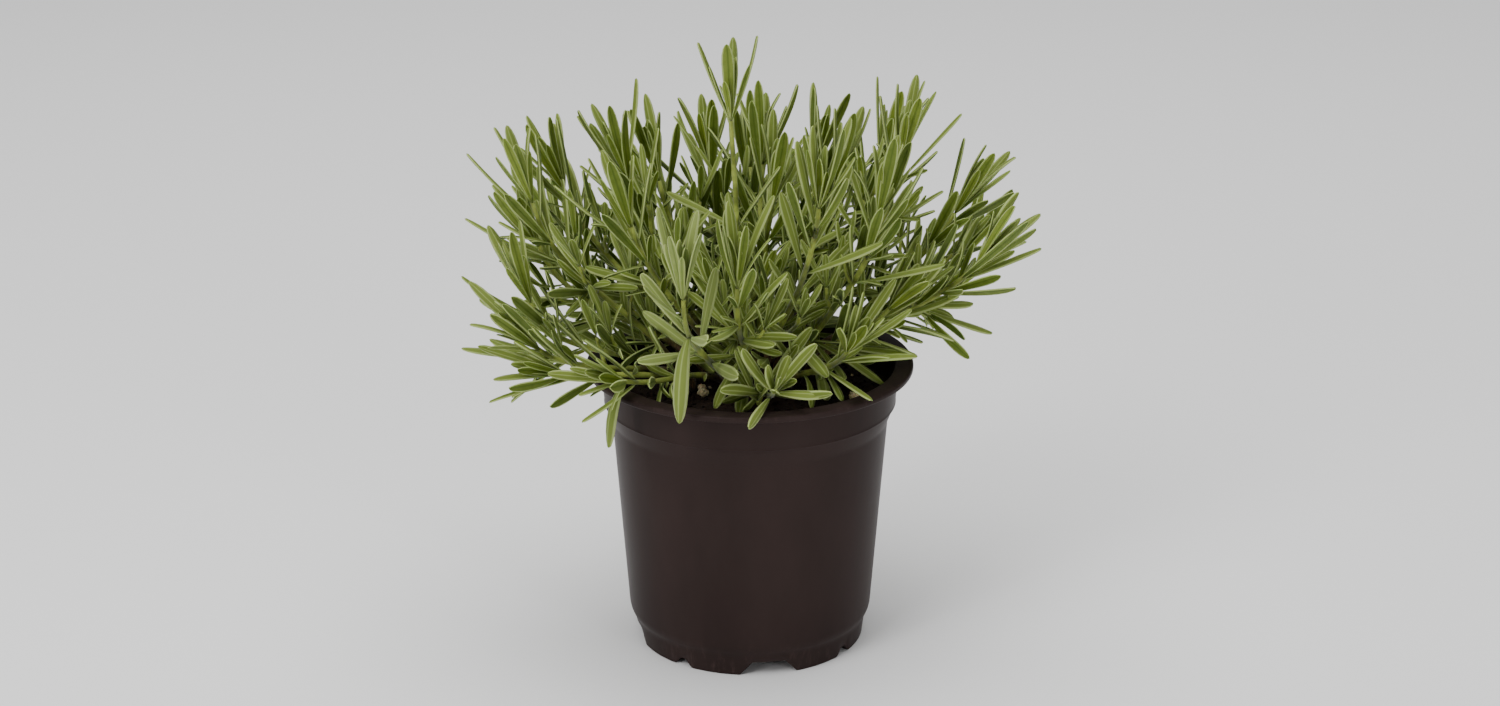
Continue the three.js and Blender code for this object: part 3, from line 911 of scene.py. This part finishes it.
@functools.cache
def walked(points):
    """How far along a curve each even step of its parameter lies."""
    chain = [bezier(points, i / WALK_STEPS) for i in range(WALK_STEPS + 1)]
    total = [0.0]
    for a, b in zip(chain, chain[1:]):
        total.append(total[-1] + (b - a).length)
    return total


def share_at(points, fraction):
    """The curve's own parameter where that fraction of its length is behind."""
    total = walked(points)
    goal = fraction * total[-1]
    for i in range(WALK_STEPS):
        if total[i + 1] >= goal:
            return (i + (goal - total[i]) / (total[i + 1] - total[i])) / WALK_STEPS
    return 1.0


def stem_of(index):
    """The curve of a stem, from its foot on the mix up, outwards and up again to its tip."""
    plant = bpy.context.scene.lavender_plant
    bearing, reach, rise, lean, _, _ = SHOOTS[index]
    outward = pointing(bearing)
    tip = Vector((outward.x * BUSH_WIDTH / 2, outward.y * BUSH_DEPTH / 2, 0)) * reach
    foot = tip * FOOT_SPREAD * (1 + 0.35 * vary(index, 0))
    foot.z = mix_level(foot.length) + CLEARANCE
    top = bpy.context.scene.lavender_pot.height / MM + BUSH_HEIGHT
    tip.z = mix_level(0) + (top - mix_level(0)) * rise
    span = (tip - foot).length
    ankle = foot + UP * span * ANKLE
    knee = tip - tilted(outward, lean) * span * KNEE
    points = tuple(p.freeze() for p in (foot, ankle, knee, tip))
    return Stem(points, UP.cross(outward), walked(points)[-1], plant.stem_foot / MM / 2,
                plant.stem_tip / MM / 2)


def leaf_on(stem, t, shape):
    """A leaf at share t of a stem: roll turns it round the stem, lean is its angle from it, curl
    bends its outer half further out and lift raises it towards the light."""
    t = share_at(stem.points, t)
    along = heading_at(stem.points, t)
    upper = stem.across.cross(along).normalized()
    roll = math.radians(shape["roll"])
    out = stem.across * math.cos(roll) + upper * math.sin(roll)

    def heading(angle):
        way = along * math.cos(math.radians(angle)) + out * math.sin(math.radians(angle))
        return (way + UP * shape["lift"]).normalized()

    start = shape.get("base") or bezier(stem.points, t)
    half = shape["length"] / 2
    middle = start + heading(shape["lean"]) * half
    tip = middle + heading(shape["lean"] + shape["curl"]) * half
    across = along.cross(out).normalized()
    return Leaf((start, middle, tip), across, shape["length"], shape["width"], shape["tone"],
                shape["felt"], shape["twist"], shape["nod"])


# ---------------------------------------------------------------- plant: keeping clear

CELL = 4.0  # width of the grid's cells, mm

# Half sizes of the perlite grains and bark chips in mm, and how the chips lie, in degrees
PERLITE_HALF = 2.3
BARK_HALF = 4.0
BARK_THICK = 2.4
BARK_TURNS = {"bark_chip_1": 35, "bark_chip_2": 100}


def cell_of(x, y, z):
    """The cell of the grid that holds a place."""
    return math.floor(x / CELL), math.floor(y / CELL), math.floor(z / CELL)


class Room:
    """Spheres that fill what has grown so far, in a grid, each with the piece it belongs to."""

    def __init__(self):
        self.cells = {}
        pot = bpy.context.scene.lavender_pot
        at = pot_shape()
        self.rim = at.rim / MM
        self.inside = (at.collar - pot.wall) / MM
        self.top = pot.height / MM

    def fill(self, owner, spheres):
        """Adds the spheres of a piece."""
        for x, y, z, radius in spheres:
            self.cells.setdefault(cell_of(x, y, z), []).append((x, y, z, radius, owner))

    def in_pot(self, x, y, z, radius):
        """Whether a sphere touches the pot or the mix."""
        room = radius + CLEARANCE
        out = math.hypot(x, y)
        if out < self.inside - room:
            return z < mix_level(out) + room
        return out < self.rim + room and z < self.top + room

    def touches(self, owner, x, y, z, radius):
        """Whether a sphere touches one of another piece."""
        for cell in itertools.product(*((n - 1, n, n + 1) for n in cell_of(x, y, z))):
            for px, py, pz, other, whose in self.cells.get(cell, ()):
                gap = other + radius + CLEARANCE
                if whose != owner and (px - x) ** 2 + (py - y) ** 2 + (pz - z) ** 2 <= gap * gap:
                    return True
        return False

    def is_clear(self, owner, spheres, above=0.0):
        """Whether a piece could grow there, at least that far above the mix."""
        return not any(self.in_pot(x, y, z - above, radius) or self.touches(owner, x, y, z, radius)
                       for x, y, z, radius in spheres)


def grain_spheres():
    """Spheres that fill the perlite grains and the bark chips on the mix."""
    spheres = []
    for name in nodes_named(("perlite_", "bark_chip_")):
        way = pointing(BARK_TURNS.get(name, 0))
        half, thick = (BARK_HALF, BARK_THICK) if name in BARK_TURNS else (PERLITE_HALF, PERLITE_HALF)
        for part in (-1, -1 / 3, 1 / 3, 1):
            centre = middle_of(name)[0] / MM + way * part * (half - thick)
            spheres.append((*centre, thick))
    return spheres


def stem_spheres(stem, plant):
    """Spheres along a stem."""
    count = math.ceil(stem.length / (plant.stem_tip / MM * 0.8))
    radius = plant.stem_foot / MM / 2
    return [(*bezier(stem.points, i / count), radius) for i in range(count + 1)]


def leaf_spheres(leaf, plant, sides=(-1, 0, 1)):
    """Rows of spheres under a leaf's blade, from where it leaves its stem to its tip."""
    rows = math.ceil(leaf.length / (leaf.width * 0.4))
    spheres = []
    for row in range(math.ceil(rows * 0.15), rows + 1):
        t = row / rows
        half = leaf.width / 2 * math.sin(math.pi * min(0.9, max(0.15, t)))
        point = bezier(leaf.points, t)
        for side in sides:
            centre = point + leaf.across * (side * half * 0.6)
            spheres.append((*centre, half * 0.42 + plant.leaf_thickness / MM / 3))
    return spheres


TRIES = ((0, 1), (18, 1), (-18, 1), (36, 1), (-36, 1), (0, 0.75), (24, 0.75), (-24, 0.75))


def grow_leaf(room, owner, stem, t, shape, sides=(-1, 0, 1), above=0.0):
    """Tries a leaf as it is, then turned a little either way, then shorter. Gives a list that is
    empty if none fits."""
    plant = bpy.context.scene.lavender_plant
    for turn, part in TRIES:
        leaf = leaf_on(stem, t, {**shape, "roll": shape["roll"] + turn, "length": shape["length"] * part})
        spheres = leaf_spheres(leaf, plant, sides)
        if room.is_clear(owner, spheres, above):
            room.fill(owner, spheres)
            return [leaf]
    return []


def leaf_size():
    """Length and width of a full-grown leaf, in mm."""
    plant = bpy.context.scene.lavender_plant
    return plant.leaf_length / MM, plant.leaf_width / MM


def start_roll(index):
    """How far the leaves of a shoot are turned round it, in degrees."""
    return 40 * vary(index, 2)


# ---------------------------------------------------------------- plant: growing

CROWN_PAIRS = ((24, -4, 1.0), (13, 0, 0.9), (5, 3, 0.68))  # lean, curl, share of leaf length


def crown_leaves(room, owner, stem, index, base, spread, pale):
    """Three pairs of young leaves round the bud, the inner ones shorter and steeper."""
    long, wide = leaf_size()
    leaves = []
    for level, (lean, curl, size) in enumerate(CROWN_PAIRS):
        for side in (0, 180):
            seed = index * 37 + level * 2 + side // 180
            leaves += grow_leaf(room, owner, stem, 1, {
                "base": base,
                "roll": side + level * 90 + 20 * vary(seed, 0) + start_roll(index),
                "lean": (lean + 6 * vary(seed, 1)) * spread,
                "curl": curl + 9 * vary(seed, 2) * spread,
                "lift": 0.05,
                "length": long * size * (1.28 - 0.28 * spread + 0.12 * vary(seed, 3)),
                "width": wide * (0.95 + 0.14 * vary(seed, 4)),
                "tone": 0.62 + 0.2 * vary(seed, 2),
                "felt": 0.10 + pale,
                "twist": 20 * vary(seed, 0),
                "nod": 0.09 * vary(seed, 1),
            })
    return leaves


def nodes_of(stem):
    """Where the pairs of leaves stand, as distances from the tip: close together near the tip and
    wider apart lower down."""
    spacing = bpy.context.scene.lavender_plant.pair_spacing / MM
    below = TOP_SPACING
    pair = 0
    while below < stem.length * 0.9:
        yield pair, below
        pair += 1
        below += min(spacing, TOP_SPACING + 2.4 * pair)


def stem_leaves(room, owner, stem, index, pale):
    """Opposite pairs down the stem, each pair a quarter turn from the one above."""
    long, wide = leaf_size()
    leaves = []
    for pair, below in nodes_of(stem):
        if below <= BARE.get(index + 1, 0):
            continue
        down = below / stem.length
        for side in (0, 180):
            seed = index * 53 + pair * 2 + side // 180
            leaves += grow_leaf(room, owner, stem, 1 - down, {
                "roll": side + (pair + 1) * 90 + 22 * vary(seed, 0) + start_roll(index),
                "lean": 27 + 46 * down + (7 + 16 * down) * vary(seed, 1),
                "curl": -8 + 26 * down + (13 + 22 * down) * vary(seed, 2),
                "lift": 0.12 - 0.2 * down,
                "length": long * (1.04 - 0.2 * down) * (1 + 0.12 * vary(seed, 3)),
                "width": wide * (0.94 + 0.24 * down) * (1 + 0.1 * vary(seed, 4)),
                # The tone falls towards the stem's foot: partly the older leaves' own colour, partly
                # painted shade inside the bush.
                "tone": 0.55 - 0.3 * down + 0.2 * vary(seed, 1),
                "felt": 0.10 + pale,
                "twist": 40 * vary(seed, 3),
                "nod": 0.14 * vary(seed, 2),
            })
    return leaves


def extra_crown(room, owner, stem, index, base, spread, pale, size=1.0):
    """The small leaves that fill a crown between its main pairs."""
    long, wide = leaf_size()
    leaves = []
    for k in range(4):
        seed = index * 29 + k
        leaves += grow_leaf(room, owner, stem, 1, {
            "base": base,
            "roll": 45 + k * GOLDEN_ANGLE + start_roll(index),
            "lean": (26 - k * 6 + 5 * vary(seed, 1)) * spread,
            "curl": 2 + 10 * vary(seed, 2),
            "lift": 0.06,
            "length": long * size * (0.8 - 0.08 * k) * (1 + 0.16 * vary(seed, 3)),
            "width": wide * (0.66 + 0.12 * vary(seed, 4)),
            "tone": 0.7 + 0.2 * vary(seed, 2),
            "felt": 0.12 + pale,
            "twist": 18 * vary(seed, 0),
            "nod": 0.08 * vary(seed, 4),
        }, (0,), ABOVE_MIX)
    return leaves


def axil_leaves(room, owner, stem, index, pale, size=1.0):
    """The bunches of half-grown leaves in the axils of the main pairs."""
    long, wide = leaf_size()
    leaves = []
    for pair, below in nodes_of(stem):
        if below <= CLEAN.get(index + 1, 0):
            continue
        down = below / stem.length
        for k in range(4 if below > BUNCHES_BELOW else 1):
            seed = index * 71 + pair * 6 + k
            part = size * (0.6 + 0.25 * vary(seed, 3))
            leaves += grow_leaf(room, owner, stem, 1 - down, {
                "roll": 180 * (k % 2) + (pair + 1) * 90 + 55 * vary(seed, 0) + start_roll(index),
                "lean": 36 + 26 * down + 24 * vary(seed, 1),
                "curl": 8 + 34 * vary(seed, 2),
                "lift": 0.12 - 0.2 * down,
                "length": long * part,
                "width": wide * (0.42 + 0.5 * part),
                # The tone falls towards the stem's foot: partly the older leaves' own colour, partly
                # painted shade inside the bush.
                "tone": 0.55 - 0.25 * down + 0.22 * vary(seed, 4),
                "felt": 0.06 + 0.5 * pale,
                "twist": 50 * vary(seed, 2),
                "nod": 0.2 * vary(seed, 1),
            }, (0,), ABOVE_MIX)
    return leaves


def twigs_of(stem, index):
    """The side shoots of a stem, from the axils of its lower pairs."""
    twigs = []
    for pair, below in nodes_of(stem):
        if below < max(TWIGS_BELOW, CLEAN.get(index + 1, 0)):
            continue
        seed = index * 19 + pair
        t = share_at(stem.points, 1 - below / stem.length)
        along = heading_at(stem.points, t)
        upper = stem.across.cross(along).normalized()
        for side in (0, 180):
            roll = math.radians(side + (pair + 1) * 90 + start_roll(index) + 25 * vary(seed, 0))
            out = stem.across * math.cos(roll) + upper * math.sin(roll)
            reach = 15 + 7 * vary(seed + side, 1)
            start = bezier(stem.points, t)
            bend = start + (along * 0.5 + out).normalized() * reach * 0.5
            tip = bend + (along * 0.4 + out * 0.5 + UP * 0.9).normalized() * reach * 0.6
            points = tuple(p.freeze() for p in (start, bend, tip))
            across = (tip - start).cross(UP)
            if across.length < 1:
                across = stem.across.copy()
            twigs.append(Stem(points, across.normalized(), walked(points)[-1], *TWIG_RADII))
    return twigs


def hanging_leaf(stem, t, bearing, drop, width):
    """A broad old leaf that hangs from a stem, outwards and down."""
    outward = pointing(bearing)
    start = bezier(stem.points, share_at(stem.points, t))
    middle = start + outward * drop * 0.36 - UP * drop * 0.08
    tip = start + outward * drop * 0.42 - UP * drop * 0.92
    return Leaf((start, middle, tip), UP.cross(outward), drop, width, tone=0.55, felt=0.25, twist=6,
                nod=0.0)


# Leaves that hang over the rim: shoot, share of its stem, bearing in degrees, drop and width in mm
HANGING = (
    (16, 0.80, -106, 30, 5.9),
    (27, 0.99, -130, 24, 5.2),
)


def sprig_name(index):
    """The name of a sprig's CAD node."""
    return f"sprig_{index + 1:02d}"


def crown_name(index):
    """The name of the CAD node that holds a shoot's crown."""
    return f"crown_{index + 1:02d}" if index < OWN_CROWNS else sprig_name(index)


def add_hanging(room, stems, leaves):
    """Adds the hanging leaves."""
    plant = bpy.context.scene.lavender_plant
    for shoot, t, bearing, drop, width in HANGING:
        leaf = hanging_leaf(stems[shoot - 1][0], t, bearing, drop, width)
        room.fill(sprig_name(shoot - 1), leaf_spheres(leaf, plant))
        leaves[shoot - 1].append(leaf)


@functools.cache
def grown_plant():
    """Every stem with its twigs, leaves and crown, in the order in which they take their room."""
    plant = bpy.context.scene.lavender_plant
    room = Room()
    room.fill("grains", grain_spheres())
    stems = [[stem_of(index)] for index in range(len(SHOOTS))]
    for index, (stem,) in enumerate(stems):
        room.fill(sprig_name(index), stem_spheres(stem, plant))
    crowns, leaves, buds, owners = [], [], [], []
    for index, (stem,) in enumerate(stems):
        rise = BUD_DIAMETER / 2 + CLEARANCE if index < OWN_CROWNS else 0
        buds.append(bezier(stem.points, 1) + heading_at(stem.points, 1) * rise)
        owners.append(crown_name(index))
        spread, pale = SHOOTS[index][4:]
        crowns.append(crown_leaves(room, owners[index], stem, index, buds[index], spread, pale))
    for index, (stem,) in enumerate(stems):
        leaves.append(stem_leaves(room, sprig_name(index), stem, index, SHOOTS[index][5]))
    add_hanging(room, stems, leaves)
    for index in range(len(SHOOTS)):
        stem = stems[index][0]
        owner = sprig_name(index)
        spread, pale = SHOOTS[index][4:]
        if spread < WIDE_OPEN:
            crowns[index] += extra_crown(room, owners[index], stem, index, buds[index], spread, pale)
        for k, twig in enumerate(twigs_of(stem, index)):
            seed = TWIG_SEED + index * 13 + k
            if not room.is_clear(owner, stem_spheres(twig, plant)[3:]):
                continue
            room.fill(owner, stem_spheres(twig, plant))
            stems[index].append(twig)
            end = bezier(twig.points, 1)
            leaves[index] += extra_crown(room, owner, twig, seed, end, spread=1.2, pale=0.5 * pale,
                                         size=0.8)
            leaves[index] += axil_leaves(room, owner, twig, seed, 0.5 * pale, size=0.9)
        leaves[index] += axil_leaves(room, owner, stem, index, pale)
    return stems, leaves, crowns


# ---------------------------------------------------------------- plant: shapes

LEAF_RINGS = 9
LEAF_SIDES = 8
WIDEST = 0.74  # share of a leaf's length where it is widest
STALK = 0.24  # width at its base, as a share of the widest
STEM_SIDES = 8
STEM_STEP = 4  # mm of stem between two rings
SWELLING = 0.18  # how much thicker a stem is at a pair of leaves


def blade_section(angle):
    """Where a leaf's skin lies at an angle round its section, in half widths: a channelled upper
    side between rounded margins, and a raised rib below."""
    side = math.cos(angle)
    if math.sin(angle) > 0.01:
        return side * 0.98, 0.46 * abs(side) ** 1.2 - 0.2
    if math.sin(angle) < -0.01:
        return side * 0.85, 0.36 * abs(side) - 0.54
    return side, 0.02


def blade_width(t):
    """Half width of a leaf at share t of its length, as a share of its widest half."""
    if t > WIDEST:
        return math.sqrt(max(0.0, 1 - ((t - WIDEST) / (1 - WIDEST)) ** 2))
    swell = (t / WIDEST) ** 0.7
    return STALK + (1 - STALK) * swell * swell * (3 - 2 * swell)


@functools.cache
def leaf_pattern():
    """One leaf as a mesh whose vertices hold (across, thickness, share of length)."""
    bm = bmesh.new()
    bmesh.ops.create_uvsphere(bm, u_segments=LEAF_SIDES, v_segments=LEAF_RINGS, radius=1)
    uv_layer = bm.loops.layers.uv.new("UVMap")
    places = {}
    for vertex in bm.verts:
        x, y, z = vertex.co
        t = math.acos(max(-1, min(1, -z))) / math.pi
        angle = math.atan2(y, x) % math.tau
        pole = math.hypot(x, y) < 1e-4
        eased = math.sin(math.pi / 2 * t) ** 1.1
        half = 0 if pole else blade_width(eased)
        across, thick = (0, -0.2) if pole else blade_section(angle)
        places[vertex] = (None if pole else angle / math.tau, eased)
        vertex.co = (across * half, thick * (0.55 + 0.45 * half), eased)
    for face in bm.faces:
        turns = [places[loop.vert][0] for loop in face.loops]
        known = [turn for turn in turns if turn is not None]
        wraps = max(known) - min(known) > 0.5
        for loop in face.loops:
            turn, along = places[loop.vert]
            if turn is None:
                turn = sum((k + 1 if wraps and k < 0.5 else k) for k in known) / len(known)
            elif wraps and turn < 0.5:
                turn += 1
            loop[uv_layer].uv = (turn, along)
    return mesh_of("leaf_pattern", bm)


def add_leaf(bm, tone, felt, leaf):
    """Bends one copy of the leaf pattern along its curve."""
    start = len(bm.verts)
    bm.from_mesh(leaf_pattern())
    bm.verts.ensure_lookup_table()
    half = leaf.width / 2
    for vertex in bm.verts[start:]:
        side, thick, t = vertex.co
        along = heading_at(leaf.points, t)
        across = Matrix.Rotation(math.radians(leaf.twist * t), 3, along) @ leaf.across
        normal = across.cross(along).normalized()
        bend = leaf.nod * leaf.length * t ** 3
        point = bezier(leaf.points, t) + across * side * half + normal * (thick * half - bend)
        vertex.co = point * MM
        vertex[tone] = leaf.tone
        vertex[felt] = leaf.felt


def leaf_mesh(leaves):
    """All the leaves of one sprig or crown."""
    bm = bmesh.new()
    bm.loops.layers.uv.new("UVMap")
    layers = bm.verts.layers.float
    layers.new("tone")
    layers.new("felt")
    for leaf in leaves:
        add_leaf(bm, layers["tone"], layers["felt"], leaf)
    bmesh.ops.recalc_face_normals(bm, faces=bm.faces)
    return bm


def add_stem(bm, layer, stem, seed, old, beyond=0.0):
    """Adds a tapered stem, slightly swollen where its leaves grow. old is its age at the foot, and
    beyond is how far it goes on into its crown, in mm."""
    count = max(6, round(stem.length / STEM_STEP))
    path = []
    radii = []
    ages = []
    swellings = [1 - below / stem.length for _, below in nodes_of(stem)]
    for i in range(count + 1):
        t = i / count
        wander = stem.across * (0.5 * math.sin(t * 9 + seed) * math.sin(math.pi * t))
        path.append((bezier(stem.points, share_at(stem.points, t)) + wander) * MM)
        near = min([abs(t - node) * stem.length for node in swellings] or [9])
        swelling = SWELLING * max(0.0, 1 - near / 3)
        radius = stem.foot_radius + (stem.tip_radius - stem.foot_radius) * t
        radii.append(radius * (1 + swelling) * MM)
        ages.append(old - 2.2 * t + 0.3 * vary(seed, 3))
    if beyond:
        path.append(path[-1] + heading_at(stem.points, 1) * beyond * MM)
        radii.append(radii[-1] * 0.9)
        ages.append(ages[-1])
    rings = sweep(bm, path, radii, STEM_SIDES, stem.across)
    for ring, age in zip(rings, ages):
        for vertex in ring:
            vertex[layer] = age


class LAVENDER_OT_stems(bpy.types.Operator):
    """Make the stems, one for each sprig"""

    bl_idname = "lavender.stems"
    bl_label = "Stems"

    def execute(self, context):
        stems = grown_plant()[0]
        for index, (stem, *twigs) in enumerate(stems):
            bm = bmesh.new()
            layer = bm.verts.layers.float.new("age")
            add_stem(bm, layer, stem, index, old=1.1, beyond=BUD_DIAMETER)
            for k, twig in enumerate(twigs):
                add_stem(bm, layer, twig, index + k, old=0.3)
            name = f"{index + 1:02d}"
            piece(f"stem_{name}", bm, stem_finish(), [f"sprig_{name}"])
        return {"FINISHED"}


class LAVENDER_OT_leaves(bpy.types.Operator):
    """Make the pairs of leaves along each stem"""

    bl_idname = "lavender.leaves"
    bl_label = "Leaves"

    def execute(self, context):
        leaves = grown_plant()[1]
        for index, grown in enumerate(leaves):
            name = f"{index + 1:02d}"
            piece(f"leaves_{name}", leaf_mesh(grown), leaf_finish(), [f"sprig_{name}"])
        return {"FINISHED"}


class LAVENDER_OT_crowns(bpy.types.Operator):
    """Make the crown of young leaves at the tip of each stem"""

    bl_idname = "lavender.crowns"
    bl_label = "Crowns"

    def execute(self, context):
        crowns = grown_plant()[2]
        for index, grown in enumerate(crowns):
            name = f"{index + 1:02d}"
            node = crown_name(index)
            piece(f"tuft_{name}", leaf_mesh(grown), young_finish(), [node])
        return {"FINISHED"}


# ---------------------------------------------------------------- stage


FLOOR_REACH = 6  # metres from the middle to each edge
SENSOR_WIDTH = 36
MIDDLE = (0, 0, 0.14)
LOW_MIDDLE = (0, 0, 0.1)

# The soft lamps: place, target, width and height in metres, and power in watts
LAMPS = {
    "key": ((-0.75, -0.95, 1.35), MIDDLE, (0.7, 0.7), 12),
    "left": ((-0.8, -0.85, 0.36), LOW_MIDDLE, (0.16, 0.6), 3.2),
    "right": ((0.72, -0.95, 0.36), LOW_MIDDLE, (0.16, 0.6), 2.6),
    "top": ((0, 0.2, 2.2), MIDDLE, (2.4, 2.4), 62),
}


def aim(made, place, target):
    """Puts a lamp or the camera at a place and turns it to a target."""
    made.location = place
    made.rotation_euler = (Vector(target) - Vector(place)).to_track_quat("-Z", "Y").to_euler()


class LAVENDER_OT_stage(bpy.types.Operator):
    """Set up the camera, the pale floor and the soft lamps"""

    bl_idname = "lavender.stage"
    bl_label = "Stage"

    def execute(self, context):
        stage = context.scene.lavender_stage
        camera = put("camera", bpy.data.cameras.new("camera"))
        context.scene.camera = camera
        camera.data.lens = stage.lens
        camera.data.sensor_width = SENSOR_WIDTH
        aim(camera, (0, -stage.distance, stage.height), (0, 0, stage.aim))
        self.make_floor(stage)
        self.make_lights(context, stage)
        return {"FINISHED"}

    def make_floor(self, stage):
        bm = bmesh.new()
        bmesh.ops.create_grid(bm, x_segments=4, y_segments=4, size=FLOOR_REACH)
        floor = put("floor", mesh_of("floor", bm))
        finish = Finish("floor", {"Roughness": 0.8, "Specular IOR Level": 0.1})
        finish.base(stage.floor)
        floor.data.materials.append(finish.material)

    def make_lights(self, context, stage):
        world = bpy.data.worlds.new("studio")
        world.use_nodes = True
        background = world.node_tree.nodes["Background"]
        background.inputs["Color"].default_value = (1, 1, 1, 1)
        background.inputs["Strength"].default_value = stage.world
        context.scene.world = world
        for name, (place, target, size, power) in LAMPS.items():
            lamp = bpy.data.lights.new(name, "AREA")
            lamp.shape = "RECTANGLE"
            lamp.size, lamp.size_y = size
            lamp.energy = power
            aim(put(name, lamp), place, target)


# ---------------------------------------------------------------- add-on


class LAVENDER_PT_panel(bpy.types.Panel):
    """Lists the lavender's pieces in the sidebar"""

    bl_idname = "LAVENDER_PT_panel"
    bl_label = "Potted Lavender"
    bl_space_type = "VIEW_3D"
    bl_region_type = "UI"
    bl_category = "Lavender"

    def draw(self, context):
        for made in OPERATORS:
            self.layout.operator(made.bl_idname)
        for name in SETTINGS:
            box = self.layout.box()
            group = getattr(context.scene, name)
            for key in group.__annotations__:
                box.prop(group, key)


SETTINGS = {
    "lavender_pot": PotSettings,
    "lavender_mix": MixSettings,
    "lavender_plant": PlantSettings,
    "lavender_stage": StageSettings,
}
OPERATORS = (
    LAVENDER_OT_stage,
    LAVENDER_OT_pot,
    LAVENDER_OT_mix,
    LAVENDER_OT_grains,
    LAVENDER_OT_stems,
    LAVENDER_OT_leaves,
    LAVENDER_OT_crowns,
)
CLASSES = (*SETTINGS.values(), *OPERATORS, LAVENDER_PT_panel)


def register():
    """Adds the settings, the operators and the panel."""
    for made in CLASSES:
        bpy.utils.register_class(made)
    for name, group in SETTINGS.items():
        setattr(bpy.types.Scene, name, PointerProperty(type=group))


def unregister():
    """Takes them away again."""
    for name in SETTINGS:
        delattr(bpy.types.Scene, name)
    for made in reversed(CLASSES):
        bpy.utils.unregister_class(made)


def main():
    """Builds the stage and every piece."""
    register()
    bpy.ops.lavender.stage()
    bpy.ops.lavender.pot()
    bpy.ops.lavender.mix()
    bpy.ops.lavender.grains()
    bpy.ops.lavender.stems()
    bpy.ops.lavender.leaves()
    bpy.ops.lavender.crowns()


if __name__ == "__main__":
    main()
